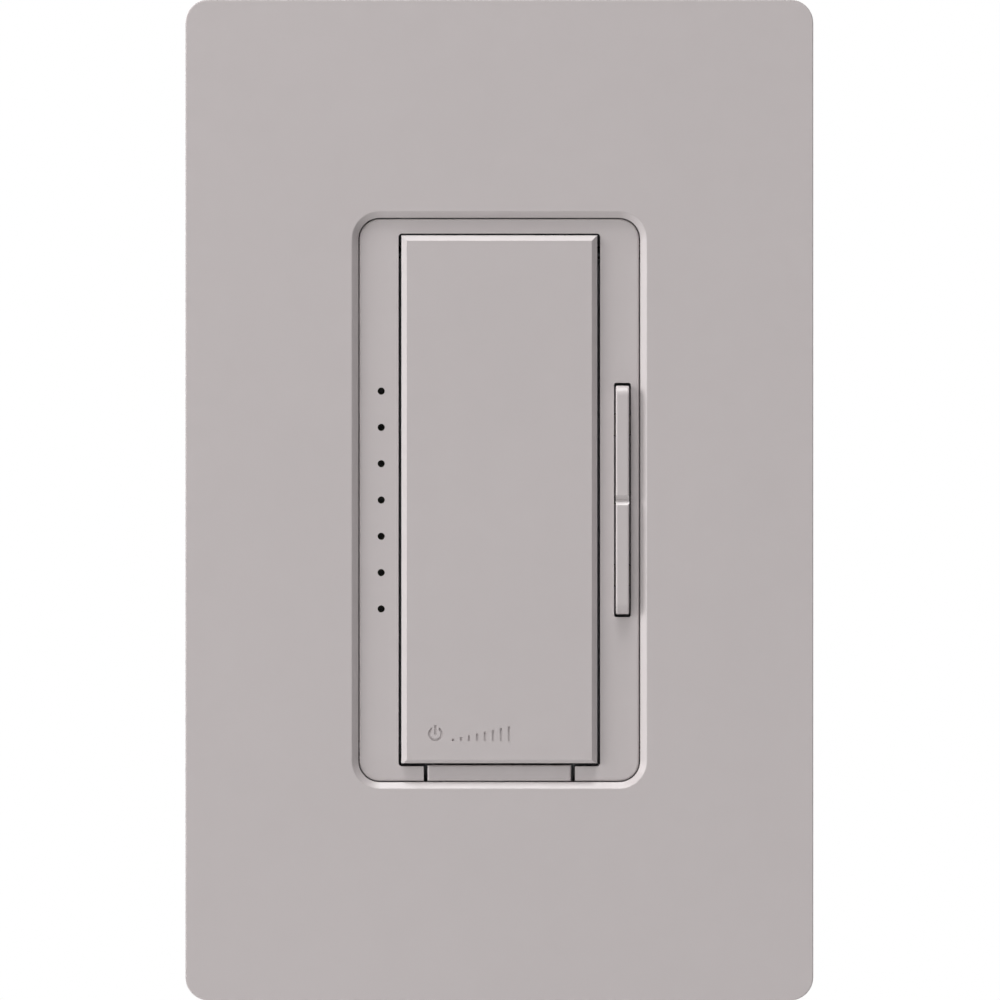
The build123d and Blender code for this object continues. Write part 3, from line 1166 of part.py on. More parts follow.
# ---------------------------------------------------------------- write every piece
os.makedirs("parts", exist_ok=True)
PIECES = {
    "wallplate": wallplate,
    "plate_adapter": plate_adapter,
    "adapter_screws": adapter_screws,
    "box_screws": box_screws,
    "screw_retainers": screw_retainers,
    "yoke": yoke,
    "bezel": bezel,
    "paddle": paddle,
    "paddle_hinge_pin": paddle_hinge_pin,
    "paddle_return_spring": paddle_return_spring,
    "dimming_rocker": dimming_rocker,
    "rocker_pivot_pin": rocker_pivot_pin,
    "light_pipe": light_pipe,
    "service_switch_slider": service_switch_slider,
    "service_contact_leaf": service_contact_leaf,
    "service_contact_base": service_contact_base,
    "service_fixed_contact": service_fixed_contact,
    "control_board": control_board,
    "tactile_switch_bodies": tactile_switch_bodies,
    "tap_switch_plunger": tap_switch_plunger,
    "raise_switch_plunger": raise_switch_plunger,
    "lower_switch_plunger": lower_switch_plunger,
    "indicator_leds": indicator_leds,
    "microcontroller": microcontroller,
    "chip_components": chip_components,
    "header_bases": header_bases,
    "header_pins": header_pins,
    "power_board": power_board,
    "triac": triac,
    "triac_insulator_pad": triac_insulator_pad,
    "triac_screw": triac_screw,
    "triac_nut": triac_nut,
    "choke_core": choke_core,
    "choke_winding": choke_winding,
    "film_capacitor": film_capacitor,
    "electrolytic_capacitor": electrolytic_capacitor,
    "varistor": varistor,
    "drum_inductor": drum_inductor,
    "bridge_rectifier": bridge_rectifier,
    "fuse": fuse,
    "power_resistor": power_resistor,
    "insulating_sheet": insulating_sheet,
    "back_housing": back_housing,
    "housing_screws": housing_screws,
    "line_terminal": line_terminal,
    "load_terminal": load_terminal,
    "remote_terminal": remote_terminal,
    "terminal_screws": terminal_screws,
    "terminal_clamps": terminal_clamps,
    "ground_screw": ground_screw,
    "blank_label": blank_label,
}
for piece_name, piece in PIECES.items():
    piece.part.label = piece_name
    export_step(piece.part, f"parts/{piece_name}.step")
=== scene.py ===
import json
import math

import bmesh
import bpy
from mathutils import Matrix, Vector


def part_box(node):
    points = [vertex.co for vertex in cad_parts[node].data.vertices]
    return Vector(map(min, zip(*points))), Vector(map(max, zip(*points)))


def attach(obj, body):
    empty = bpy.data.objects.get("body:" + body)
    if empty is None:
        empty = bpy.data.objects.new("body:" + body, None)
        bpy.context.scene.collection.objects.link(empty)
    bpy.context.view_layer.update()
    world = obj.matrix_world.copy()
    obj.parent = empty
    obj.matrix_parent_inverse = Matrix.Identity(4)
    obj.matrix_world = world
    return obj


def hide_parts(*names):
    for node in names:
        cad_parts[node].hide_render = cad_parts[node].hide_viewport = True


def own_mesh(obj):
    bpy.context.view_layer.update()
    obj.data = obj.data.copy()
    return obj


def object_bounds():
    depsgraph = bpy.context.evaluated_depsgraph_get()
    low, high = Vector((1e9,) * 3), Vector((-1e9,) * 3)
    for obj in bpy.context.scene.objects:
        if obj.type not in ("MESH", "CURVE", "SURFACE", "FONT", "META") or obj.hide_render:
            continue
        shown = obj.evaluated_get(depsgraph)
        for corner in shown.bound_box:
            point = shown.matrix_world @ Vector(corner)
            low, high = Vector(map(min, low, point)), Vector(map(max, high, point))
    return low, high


# A tap dimmer with a clip-on wallplate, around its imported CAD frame. Metres; X is to the right, Z is up,
# and the room is towards -Y.

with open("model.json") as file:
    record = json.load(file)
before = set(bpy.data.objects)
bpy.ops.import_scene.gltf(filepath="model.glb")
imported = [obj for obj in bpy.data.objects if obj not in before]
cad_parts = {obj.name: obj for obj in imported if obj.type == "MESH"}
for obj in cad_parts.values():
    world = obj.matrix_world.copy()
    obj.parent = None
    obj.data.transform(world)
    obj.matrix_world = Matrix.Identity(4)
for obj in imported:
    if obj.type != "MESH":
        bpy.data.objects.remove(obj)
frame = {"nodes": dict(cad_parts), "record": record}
bpy.context.view_layer.update()
CAD_BOX = [list(corner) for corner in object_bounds()]

MM = 0.001
NODES = frame["nodes"]
SLOT_OF = {row["node"]: row["material_slot"] for row in frame["record"]["subparts"]}
PLATE_LOW, PLATE_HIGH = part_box("wallplate")
TO_ROOM = Vector((0, -1, 0))
TO_WALL = Vector((0, 1, 0))

# ---------------------------------------------------------------- camera
VIEW_WIDTH = PLATE_HIGH.z - PLATE_LOW.z - 0.15 * MM
VIEW_DISTANCE = 1.5
SIDESTEP = 0.08 * MM
SENSOR = 36.0


def make_camera():
    """Long lens, square on to the plate; the view is a hair narrower than the plate is tall."""
    data = bpy.data.cameras.new("camera")
    data.sensor_width = SENSOR
    data.lens = SENSOR * VIEW_DISTANCE / VIEW_WIDTH
    data.clip_start = 0.01
    data.clip_end = 20.0
    camera = bpy.data.objects.new("camera", data)
    bpy.context.scene.collection.objects.link(camera)
    camera.location = (SIDESTEP, PLATE_LOW.y - VIEW_DISTANCE, 0.0)
    camera.rotation_euler = (math.radians(90), 0, 0)
    bpy.context.scene.camera = camera


make_camera()

# ---------------------------------------------------------------- studio
LAMP_DISTANCE = 1.8
LIGHT_TARGET = Vector((0, PLATE_LOW.y, 0))
FLOOR_GLOW_AS_LIGHT = 0.1
FLOOR_GLOW_TO_THE_EYE = 0.55


def add_light(name, place, size, power):
    """Soft square lamp at a place, turned to the middle of the plate."""
    data = bpy.data.lights.new(name, "AREA")
    data.shape = "SQUARE"
    data.size = size
    data.energy = power
    lamp = bpy.data.objects.new(name, data)
    bpy.context.scene.collection.objects.link(lamp)
    lamp.location = place
    lamp.rotation_euler = (LIGHT_TARGET - Vector(place)).to_track_quat("-Z", "Y").to_euler()


def around(turn, lift):
    """Place seen from the plate: turn is 0 to the right and 90 above, lift is the angle off its face."""
    turn, lift = math.radians(turn), math.radians(lift)
    flat = LAMP_DISTANCE * math.cos(lift)
    return (flat * math.cos(turn), -LAMP_DISTANCE * math.sin(lift), flat * math.sin(turn))


def make_world(strength):
    """White surroundings: pure white to the eye, dimmer as a source of light."""
    world = bpy.data.worlds.new("studio")
    world.use_nodes = True
    tree = world.node_tree
    tree.nodes.clear()
    output = tree.nodes.new("ShaderNodeOutputWorld")
    mix = tree.nodes.new("ShaderNodeMixShader")
    path = tree.nodes.new("ShaderNodeLightPath")
    tree.links.new(path.outputs["Is Camera Ray"], mix.inputs[0])
    for socket, brightness in ((1, strength), (2, 1.0)):
        glow = tree.nodes.new("ShaderNodeBackground")
        glow.inputs["Color"].default_value = (1, 1, 1, 1)
        glow.inputs["Strength"].default_value = brightness
        tree.links.new(glow.outputs[0], mix.inputs[socket])
    tree.links.new(mix.outputs[0], output.inputs["Surface"])
    bpy.context.scene.world = world


def make_floor(drop, half):
    """Pale floor a good way below the object, and below the main view."""
    mesh = bpy.data.meshes.new("floor")
    height = CAD_BOX[0][2] - drop
    corners = [(-half, -half, height), (half, -half, height), (half, half, height), (-half, half, height)]
    mesh.from_pydata(corners, [], [(0, 1, 2, 3)])
    floor = bpy.data.objects.new("floor", mesh)
    bpy.context.scene.collection.objects.link(floor)
    material = bpy.data.materials.new("floor")
    material.use_nodes = True
    tree = material.node_tree
    shader = tree.nodes["Principled BSDF"]
    shader.inputs["Base Color"].default_value = (0.85, 0.85, 0.85, 1)
    shader.inputs["Roughness"].default_value = 0.9
    shader.inputs["Emission Color"].default_value = (1, 1, 1, 1)
    path = tree.nodes.new("ShaderNodeLightPath")
    glow = tree.nodes.new("ShaderNodeMapRange")
    glow.inputs["To Min"].default_value = FLOOR_GLOW_AS_LIGHT
    glow.inputs["To Max"].default_value = FLOOR_GLOW_TO_THE_EYE
    tree.links.new(path.outputs["Is Camera Ray"], glow.inputs["Value"])
    tree.links.new(glow.outputs[0], shader.inputs["Emission Strength"])
    mesh.materials.append(material)


make_world(0.05)
add_light("top", around(110, 34), 0.6, 9.5)
add_light("top_rim", around(93, 14), 0.5, 25.0)
add_light("left", around(168, 20), 0.6, 21.5)
add_light("behind_left", (-0.7, 0.8, 0.5), 0.6, 5.0)
add_light("behind_right", (0.8, 0.7, 0.1), 0.6, 3.0)
make_floor(drop=0.35, half=4.0)
bpy.context.scene.view_settings.view_transform = "Standard"
bpy.context.scene.view_settings.look = "None"


# ---------------------------------------------------------------- node helpers
def srgb(red, green, blue):
    """Colour given as 0 to 255 screen values, as the linear colour that a shader takes."""
    linear = []
    for value in (red, green, blue):
        value /= 255
        linear.append(value / 12.92 if value <= 0.04045 else ((value + 0.055) / 1.055) ** 2.4)
    return (*linear, 1.0)


def shade(colour, amount):
    """A colour made lighter (above 1) or darker (below 1)."""
    return tuple(min(channel * amount, 1.0) for channel in colour[:3]) + (1.0,)


def new_material(name):
    """An empty material with its node tree and its shader."""
    material = bpy.data.materials.new(name)
    material.use_nodes = True
    return material, material.node_tree, material.node_tree.nodes["Principled BSDF"]


def nodes_of(material):
    """A material's node tree, its shader, and the output that feeds its base colour."""
    shader = material.node_tree.nodes["Principled BSDF"]
    return material.node_tree, shader, shader.inputs["Base Color"].links[0].from_socket


def noise(tree, scale, detail=2.0, stretch=(1, 1, 1)):
    """Noise over the object's own coordinates; its scale is in features per metre."""
    coordinates = tree.nodes.new("ShaderNodeTexCoord")
    mapping = tree.nodes.new("ShaderNodeMapping")
    mapping.inputs["Scale"].default_value = stretch
    texture = tree.nodes.new("ShaderNodeTexNoise")
    texture.inputs["Scale"].default_value = scale
    texture.inputs["Detail"].default_value = detail
    tree.links.new(coordinates.outputs["Object"], mapping.inputs["Vector"])
    tree.links.new(mapping.outputs[0], texture.inputs["Vector"])
    return texture.outputs[0]


def ramp(tree, source, low, high, start=0.3, end=0.7):
    """Maps a source between start and end on to a range of numbers, held at both ends."""
    node = tree.nodes.new("ShaderNodeMapRange")
    node.inputs["From Min"].default_value = start
    node.inputs["From Max"].default_value = end
    node.inputs["To Min"].default_value = low
    node.inputs["To Max"].default_value = high
    tree.links.new(source, node.inputs["Value"])
    return node.outputs[0]


def combine(tree, operation, first, second):
    """One arithmetic step on two outputs."""
    node = tree.nodes.new("ShaderNodeMath")
    node.operation = operation
    tree.links.new(first, node.inputs[0])
    tree.links.new(second, node.inputs[1])
    return node.outputs[0]


def blend_colours(tree, factor, first, second):
    """Mixes two colours by a factor; each may be a colour or another node's output."""
    mix = tree.nodes.new("ShaderNodeMix")
    mix.data_type = "RGBA"
    tree.links.new(factor, mix.inputs["Factor"])
    for socket, colour in (("A", first), ("B", second)):
        if isinstance(colour, bpy.types.NodeSocket):
            tree.links.new(colour, mix.inputs[socket])
        else:
            mix.inputs[socket].default_value = colour
    return mix.outputs["Result"]


def split_coordinates(tree):
    """The object's own coordinates as separate X, Y and Z outputs."""
    coordinates = tree.nodes.new("ShaderNodeTexCoord")
    split = tree.nodes.new("ShaderNodeSeparateXYZ")
    tree.links.new(coordinates.outputs["Object"], split.inputs[0])
    return split.outputs


def between(tree, axis, low, high, soft=0.02 * MM):
    """1 inside a span of one coordinate, 0 outside it."""
    value = split_coordinates(tree)[axis]
    rise = ramp(tree, value, 0, 1, low - soft, low + soft)
    fall = ramp(tree, value, 1, 0, high - soft, high + soft)
    return combine(tree, "MULTIPLY", rise, fall)


def add_bump(tree, shader, height, distance):
    """Relief from an output, as deep as the distance."""
    bump = tree.nodes.new("ShaderNodeBump")
    bump.inputs["Strength"].default_value = 1.0
    bump.inputs["Distance"].default_value = distance
    tree.links.new(height, bump.inputs["Height"])
    tree.links.new(bump.outputs[0], shader.inputs["Normal"])


# ---------------------------------------------------------------- plain materials
FRONT_GREY = srgb(186, 179, 179)
COAT_ROUGHNESS = 0.12
# patches of uneven roughness are this many times smaller than the clouds of colour
ROUGHNESS_CLOUD = 7
# noise stretched along one axis, for brushed and drawn metal
ALONG_Z = (1, 1, 0.03)
ALONG_X = (0.03, 1, 1)


def surface(name, colour, roughness, spread=0.06, metallic=0.0, coat=0.0, shift=0.03, cloud=60.0,
            grain=6000.0, depth=0.01, stretch=(1, 1, 1), speck=None, speck_scale=4000.0):
    """Clouded colour, optional specks, uneven roughness and a fine grain in the bump.

    Shift is the share by which clouds are lighter and darker. Cloud, grain and speck_scale are in features
    per metre, and depth is the height of the grain in millimetres.
    """
    material, tree, shader = new_material(name)
    shader.inputs["Metallic"].default_value = metallic
    shader.inputs["IOR"].default_value = 1.5
    shader.inputs["Coat Weight"].default_value = coat
    shader.inputs["Coat Roughness"].default_value = COAT_ROUGHNESS
    clouds = ramp(tree, noise(tree, cloud, 3.0, stretch), 0, 1)
    tone = blend_colours(tree, clouds, shade(colour, 1 - shift), shade(colour, 1 + shift))
    if speck:
        spots = ramp(tree, noise(tree, speck_scale, 1.0), 0, 1, 0.62, 0.72)
        tone = blend_colours(tree, spots, tone, speck)
    tree.links.new(tone, shader.inputs["Base Color"])
    patches = noise(tree, cloud * ROUGHNESS_CLOUD, 2.0, stretch)
    tree.links.new(ramp(tree, patches, roughness - spread, roughness + spread), shader.inputs["Roughness"])
    add_bump(tree, shader, noise(tree, grain, 2.0, stretch), depth * MM)
    return material


LOOKS = {
    "plate_plastic": dict(
        colour=FRONT_GREY, roughness=0.42,
        shift=0.006, grain=3500, depth=0.004,
    ),
    "control_plastic": dict(
        colour=FRONT_GREY, roughness=0.4,
        shift=0.006, grain=3500, depth=0.004,
    ),
    "adapter_plastic": dict(
        colour=srgb(170, 164, 164), roughness=0.55,
        shift=0.02, grain=2500, depth=0.008,
    ),
    "housing_plastic": dict(
        colour=srgb(44, 45, 48), roughness=0.48, speck=srgb(66, 67, 70), speck_scale=2600,
        shift=0.1, cloud=90, grain=2200, depth=0.012,
    ),
    "heat_sink_metal": dict(
        colour=srgb(188, 190, 194), roughness=0.36, spread=0.05, metallic=1.0,
        shift=0.035, cloud=1500, depth=0.008, stretch=ALONG_Z,
    ),
    "zinc_steel": dict(
        colour=srgb(188, 192, 198), roughness=0.28, spread=0.09, metallic=1.0,
        shift=0.09, cloud=500, grain=3500, depth=0.006,
    ),
    "pin_steel": dict(
        colour=srgb(58, 58, 60), roughness=0.32, metallic=1.0,
        shift=0.08, cloud=300, grain=5000, depth=0.004, stretch=ALONG_X,
    ),
    "spring_steel": dict(
        colour=srgb(150, 152, 156), roughness=0.25, metallic=1.0,
        shift=0.06, cloud=400, grain=4000, depth=0.004,
    ),
    "fibre": dict(
        colour=srgb(142, 74, 52), roughness=0.75, speck=srgb(172, 112, 84), speck_scale=1800,
        shift=0.14, cloud=700, grain=3000, depth=0.03,
    ),
    "fish_paper": dict(
        colour=srgb(132, 142, 146), roughness=0.7, speck=srgb(160, 166, 168),
        shift=0.06, cloud=250, grain=2500, depth=0.02,
    ),
    "black_epoxy": dict(
        colour=srgb(34, 34, 36), roughness=0.5,
        shift=0.12, cloud=300, grain=4000, depth=0.012,
    ),
    "led_white": dict(
        colour=srgb(236, 226, 170), roughness=0.35,
        shift=0.05, cloud=900, grain=3000,
    ),
    "chip_ceramic": dict(
        colour=srgb(168, 146, 118), roughness=0.42,
        shift=0.12, cloud=800, grain=3000,
    ),
    "plunger_plastic": dict(
        colour=srgb(206, 196, 172), roughness=0.32,
        cloud=400, grain=3000, depth=0.006,
    ),
    "ferrite": dict(
        colour=srgb(52, 52, 56), roughness=0.6, speck=srgb(92, 92, 96), speck_scale=3500,
        shift=0.15, cloud=500, grain=2500, depth=0.02,
    ),
    "core_coating": dict(
        colour=srgb(198, 178, 62), roughness=0.5,
        shift=0.06, cloud=300, grain=2500, depth=0.02,
    ),
    "copper": dict(
        colour=srgb(170, 84, 44), roughness=0.22, metallic=1.0, coat=0.6,
        shift=0.08, cloud=500, grain=3000, depth=0.006,
    ),
    "capacitor_yellow": dict(
        colour=srgb(214, 172, 44), roughness=0.32, coat=0.2,
        shift=0.04, cloud=200, grain=3000, depth=0.008,
    ),
    "varistor_blue": dict(
        colour=srgb(44, 84, 152), roughness=0.38, coat=0.2,
        shift=0.1, cloud=350, grain=1200, depth=0.03,
    ),
    "brass_strip": dict(
        colour=srgb(204, 170, 96), roughness=0.28, spread=0.08, metallic=1.0,
        shift=0.08, cloud=300, grain=4000, depth=0.006, stretch=ALONG_Z,
    ),
    "silver_contact": dict(
        colour=srgb(206, 202, 194), roughness=0.24, metallic=1.0,
        shift=0.06, cloud=300, grain=4000, depth=0.005,
    ),
    "insulator_rubber": dict(
        colour=srgb(168, 166, 162), roughness=0.8,
        shift=0.05, cloud=300, grain=2500, depth=0.02,
    ),
    "green_screw": dict(
        colour=srgb(46, 132, 66), roughness=0.3, metallic=0.7,
        shift=0.12, cloud=600, grain=3500, depth=0.008,
    ),
}
MATERIALS = {name: surface(name, **look) for name, look in LOOKS.items()}


# ---------------------------------------------------------------- special materials
def clear_pipe():
    """Slightly smoky clear plastic with faint flow lines."""
    material = surface(
        "clear_plastic", srgb(150, 150, 148), 0.12, spread=0.04, cloud=120, grain=1500, depth=0.004
    )
    shader = nodes_of(material)[1]
    shader.inputs["Transmission Weight"].default_value = 0.9
    return material


def parallel_tracks(tree, across, along, width, length):
    """Long narrow bricks whose joints stand for a bundle of copper tracks."""
    split = split_coordinates(tree)
    plane = tree.nodes.new("ShaderNodeCombineXYZ")
    tree.links.new(split[along], plane.inputs["X"])
    tree.links.new(split[across], plane.inputs["Y"])
    tracks = tree.nodes.new("ShaderNodeTexBrick")
    tracks.offset = 0.37
    tracks.inputs["Scale"].default_value = 1.0
    tracks.inputs["Brick Width"].default_value = length
    tracks.inputs["Row Height"].default_value = width
    tracks.inputs["Mortar Size"].default_value = width * 0.14
    tracks.inputs["Mortar Smooth"].default_value = 0.3
    tree.links.new(plane.outputs[0], tracks.inputs["Vector"])
    return tracks.outputs["Fac"]


def circuit_board():
    """Green solder mask over copper, with bundles of tracks that run either way between open areas."""
    material, tree, shader = new_material("board_laminate")
    area = noise(tree, 95.0, 0.0)
    level_tracks = parallel_tracks(tree, "Z", "X", 1.3 * MM, 21 * MM)
    upright_tracks = parallel_tracks(tree, "X", "Z", 1.7 * MM, 16 * MM)
    level_tracks = combine(tree, "MULTIPLY", level_tracks, ramp(tree, area, 0, 1, 0.53, 0.54))
    upright_tracks = combine(tree, "MULTIPLY", upright_tracks, ramp(tree, area, 1, 0, 0.45, 0.46))
    copper = combine(tree, "MAXIMUM", level_tracks, upright_tracks)
    clouds = ramp(tree, noise(tree, 90.0, 3.0), 0, 1)
    mask = blend_colours(tree, clouds, srgb(20, 80, 46), srgb(26, 94, 56))
    tree.links.new(blend_colours(tree, copper, mask, srgb(52, 128, 80)), shader.inputs["Base Color"])
    tree.links.new(ramp(tree, noise(tree, 500.0), 0.22, 0.38), shader.inputs["Roughness"])
    add_bump(tree, shader, copper, 0.03 * MM)
    return material


def label_stock():
    """White coated paper with a plain printed frame and blank ruled fields."""
    material = surface(
        "label_paper", srgb(226, 226, 222), 0.45, shift=0.015, cloud=200, grain=5000, depth=0.006
    )
    tree, shader, paper = nodes_of(material)
    low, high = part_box("blank_label")
    line, margin = 0.25 * MM, 1.5 * MM
    inside_x = between(tree, "X", low.x + margin, high.x - margin)
    inside_z = between(tree, "Z", low.z + margin, high.z - margin)
    framed = combine(tree, "MULTIPLY", inside_x, inside_z)
    core_x = between(tree, "X", low.x + margin + line, high.x - margin - line)
    core_z = between(tree, "Z", low.z + margin + line, high.z - margin - line)
    ink = combine(tree, "SUBTRACT", framed, combine(tree, "MULTIPLY", core_x, core_z))
    for share in (0.3, 0.48, 0.66, 0.84):
        height = low.z + share * (high.z - low.z)
        rule = combine(tree, "MULTIPLY", inside_x, between(tree, "Z", height, height + line))
        ink = combine(tree, "MAXIMUM", ink, rule)
    tree.links.new(blend_colours(tree, ink, paper, srgb(70, 72, 76)), shader.inputs["Base Color"])
    return material


def banded(name, colour, node, bands, band_width=0.8 * MM):
    """Coated axial part with painted rings at shares of its length."""
    material = surface(name, colour, 0.35, shift=0.05, cloud=300, grain=3000)
    tree, shader, tone = nodes_of(material)
    low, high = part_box(node)
    for share, band in bands:
        start = low.x + share * (high.x - low.x)
        tone = blend_colours(tree, between(tree, "X", start, start + band_width), tone, band)
    tree.links.new(tone, shader.inputs["Base Color"])
    return material


def sleeve():
    """Dark shrink sleeve with a paler stripe down one side."""
    material = surface("capacitor_sleeve", srgb(34, 38, 62), 0.3, coat=0.3, shift=0.05, cloud=300, grain=2500)
    tree, shader, tone = nodes_of(material)
    low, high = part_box("electrolytic_capacitor")
    edge = low.x + 0.22 * (high.x - low.x)
    stripe = ramp(tree, split_coordinates(tree)["X"], 1, 0, edge - 0.05 * MM, edge + 0.05 * MM)
    tree.links.new(blend_colours(tree, stripe, tone, srgb(176, 180, 190)), shader.inputs["Base Color"])
    return material


def metal_ends(node, base, axis, start, end):
    """The node's own material, with bare tinned metal before and after two shares of its length."""
    material = base.copy()
    material.name = node
    tree, shader, tone = nodes_of(material)
    low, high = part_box(node)
    index = "XYZ".index(axis)
    size = high[index] - low[index]
    body = between(tree, axis, low[index] + start * size, low[index] + end * size)
    tree.links.new(blend_colours(tree, body, srgb(200, 200, 198), tone), shader.inputs["Base Color"])
    tree.links.new(ramp(tree, body, 1, 0, 0, 1), shader.inputs["Metallic"])
    return material


RESISTOR_BANDS = (
    (0.24, srgb(150, 80, 36)), (0.38, srgb(30, 30, 32)),
    (0.52, srgb(186, 60, 40)), (0.72, srgb(190, 160, 70)),
)
FUSE_BANDS = ((0.3, srgb(60, 50, 44)), (0.62, srgb(210, 206, 196)))
MATERIALS.update({
    "label_paper": label_stock(),
    "clear_plastic": clear_pipe(),
    "board_laminate": circuit_board(),
    "capacitor_sleeve": sleeve(),
    "resistor_green": banded("resistor_green", srgb(118, 148, 128), "power_resistor", RESISTOR_BANDS),
    "fuse_body": banded("fuse_body", srgb(176, 140, 104), "fuse", FUSE_BANDS),
})

# Nodes whose leads or caps are bare metal: the axis, and the shares of its length between which the body is.
# A share past 1 means that only the near end is bare.
METAL_ENDS = {
    "triac": ("Z", 0.10, 0.63),
    "microcontroller": ("X", 0.19, 0.81),
    "bridge_rectifier": ("Z", 0.09, 0.91),
    "fuse": ("X", 0.137, 0.863),
    "power_resistor": ("X", 0.137, 0.863),
    "electrolytic_capacitor": ("Y", 0.02, 1.1),
    "tactile_switch_bodies": ("Y", 0.10, 1.1),
}


def dress_nodes():
    """Gives each CAD node the material of its slot."""
    for node, slot in SLOT_OF.items():
        material = MATERIALS[slot]
        if node in METAL_ENDS:
            material = metal_ends(node, material, *METAL_ENDS[node])
        NODES[node].data.materials.clear()
        NODES[node].data.materials.append(material)


dress_nodes()

# ---------------------------------------------------------------- mesh helpers
WELD = 0.0001 * MM


def solids(node):
    """Lowest and highest corners of each separate solid of a CAD node, from left to right."""
    mesh = bmesh.new()
    mesh.from_mesh(NODES[node].data)
    bmesh.ops.remove_doubles(mesh, verts=mesh.verts, dist=WELD)
    left, boxes = set(mesh.verts), []
    while left:
        reached = [left.pop()]
        for vert in reached:
            for edge in vert.link_edges:
                other = edge.other_vert(vert)
                if other in left:
                    left.remove(other)
                    reached.append(other)
        low = Vector([min(vert.co[i] for vert in reached) for i in range(3)])
        high = Vector([max(vert.co[i] for vert in reached) for i in range(3)])
        boxes.append((low, high))
    mesh.free()
    return sorted(boxes, key=lambda pair: (round(pair[0].x, 6), round(pair[0].z, 6)))


def circle(radius, sides):
    """Corners of a regular polygon about the origin, as (x, y) pairs."""
    turns = (2 * math.pi * i / sides for i in range(sides))
    return [(radius * math.cos(turn), radius * math.sin(turn)) for turn in turns]


def in_metres(outline):
    """An outline of (radius, height) corners, from millimetres."""
    return [(radius * MM, height * MM) for radius, height in outline]


def ring_faces(mesh, first, second):
    """Quads between two rings of the same number of vertices."""
    count = len(first)
    for i in range(count):
        mesh.faces.new((first[i], first[(i + 1) % count], second[(i + 1) % count], second[i]))


def lathe(mesh, outline, sides, place=Matrix.Identity(4)):
    """Closed solid of revolution about Z, from (radius, height) corners; radius 0 at both ends."""
    rings = []
    for radius, height in outline:
        corners = circle(radius, sides) if radius else [(0, 0)]
        rings.append([mesh.verts.new(place @ Vector((x, y, height))) for x, y in corners])
    for first, second in zip(rings, rings[1:]):
        if len(first) == 1:
            for i in range(sides):
                mesh.faces.new((first[0], second[i], second[(i + 1) % sides]))
        elif len(second) == 1:
            for i in range(sides):
                mesh.faces.new((first[(i + 1) % sides], first[i], second[0]))
        else:
            ring_faces(mesh, first[::-1], second[::-1])


def tube(mesh, path, radius, sides=10):
    """Closed round tube along a list of points, with its rings turned as little as possible."""
    rings = []
    side = None
    for i, point in enumerate(path):
        ahead = path[min(i + 1, len(path) - 1)] - path[max(i - 1, 0)]
        ahead.normalize()
        if side is None:
            side = ahead.orthogonal().normalized()
        side = (side - ahead * side.dot(ahead)).normalized()
        across = ahead.cross(side)
        rings.append([mesh.verts.new(point + radius * (x * side + y * across)) for x, y in circle(1, sides)])
    for first, second in zip(rings, rings[1:]):
        ring_faces(mesh, first, second)
    mesh.faces.new(rings[0][::-1])
    mesh.faces.new(rings[-1])


def object_from(mesh, name):
    """Turns a finished bmesh into an object, with its faces turned outwards."""
    bmesh.ops.recalc_face_normals(mesh, faces=mesh.faces)
    data = bpy.data.meshes.new(name)
    mesh.to_mesh(data)
    mesh.free()
    made = bpy.data.objects.new(name, data)
    bpy.context.scene.collection.objects.link(made)
    return made


def piece(name, mesh, slot, body, *stands_for, angle=35):
    """Turns a finished bmesh into a piece that rides on a body and may stand for CAD nodes."""
    made = object_from(mesh, name)
    data = made.data
    data.materials.append(MATERIALS[slot])
    data.shade_smooth()
    data.set_sharp_from_angle(angle=math.radians(angle))
    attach(made, body)
    if stands_for:
        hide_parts(*stands_for)
    return made


def merged(target, source, place):
    """Adds a copy of one mesh to a bmesh at a place."""
    copy = source.copy()
    copy.transform(place)
    target.from_mesh(copy)
    bpy.data.meshes.remove(copy)


# ---------------------------------------------------------------- screws
HEAD_SIDES = 40
SHANK_SIDES = 28
RINGS_PER_TURN = 8
THREAD_DEPTH = 0.3
TIP_TAPER = 0.6
FIRST_TWIST, NEXT_TWIST = 17, 41

# Turned heads as (radius, height) corners in millimetres, from the middle of the top down to the shank.
BOX_SCREW_HEAD = (
    (0, 0), (1.2, -0.04), (2.2, -0.3), (3.0, -0.75), (3.35, -1.15), (3.4, -2.15),
    (1.4, -2.2), (1.4, -3), (0, -3),
)
TERMINAL_SCREW_HEAD = (
    (0, 0), (2.9, 0), (3.35, -0.25), (3.5, -0.6), (3.5, -1.9), (3.4, -2.0),
    (1.4, -2.0), (1.4, -2.6), (0, -2.6),
)
GROUND_SCREW_HEAD = (
    (0, 0), (2.7, 0), (3.2, -0.15), (3.5, -0.5), (3.5, -2.3), (1.3, -2.34), (1.3, -2.7), (0, -2.7),
)


def flat_head(head, radius):
    """Countersunk head: flat top with a softened rim, and a 45 degree cone down to the shank."""
    rim, stub = 0.12 * MM, 0.4 * MM
    foot = -rim - head + radius
    return [(0, 0), (head - rim, 0), (head, -rim), (radius, foot), (radius, foot - stub), (0, foot - stub)]


def cut_head(outline, slot_width, slot_depth):
    """Turned head with a driver slot cut right across it."""
    reach = max(radius for radius, height in outline)
    turned = bmesh.new()
    lathe(turned, outline, HEAD_SIDES)
    bar = bmesh.new()
    bmesh.ops.create_cube(bar, size=1.0, matrix=Matrix.Diagonal((3 * reach, slot_width, 2 * slot_depth, 1)))
    head, cutter = object_from(turned, "head"), object_from(bar, "cutter")
    modifier = head.modifiers.new("slot", "BOOLEAN")
    modifier.operation = "DIFFERENCE"
    modifier.solver = "EXACT"
    modifier.object = cutter
    bpy.context.view_layer.update()
    evaluated = head.evaluated_get(bpy.context.evaluated_depsgraph_get())
    result = bpy.data.meshes.new_from_object(evaluated)
    bpy.data.objects.remove(head)
    bpy.data.objects.remove(cutter)
    return result


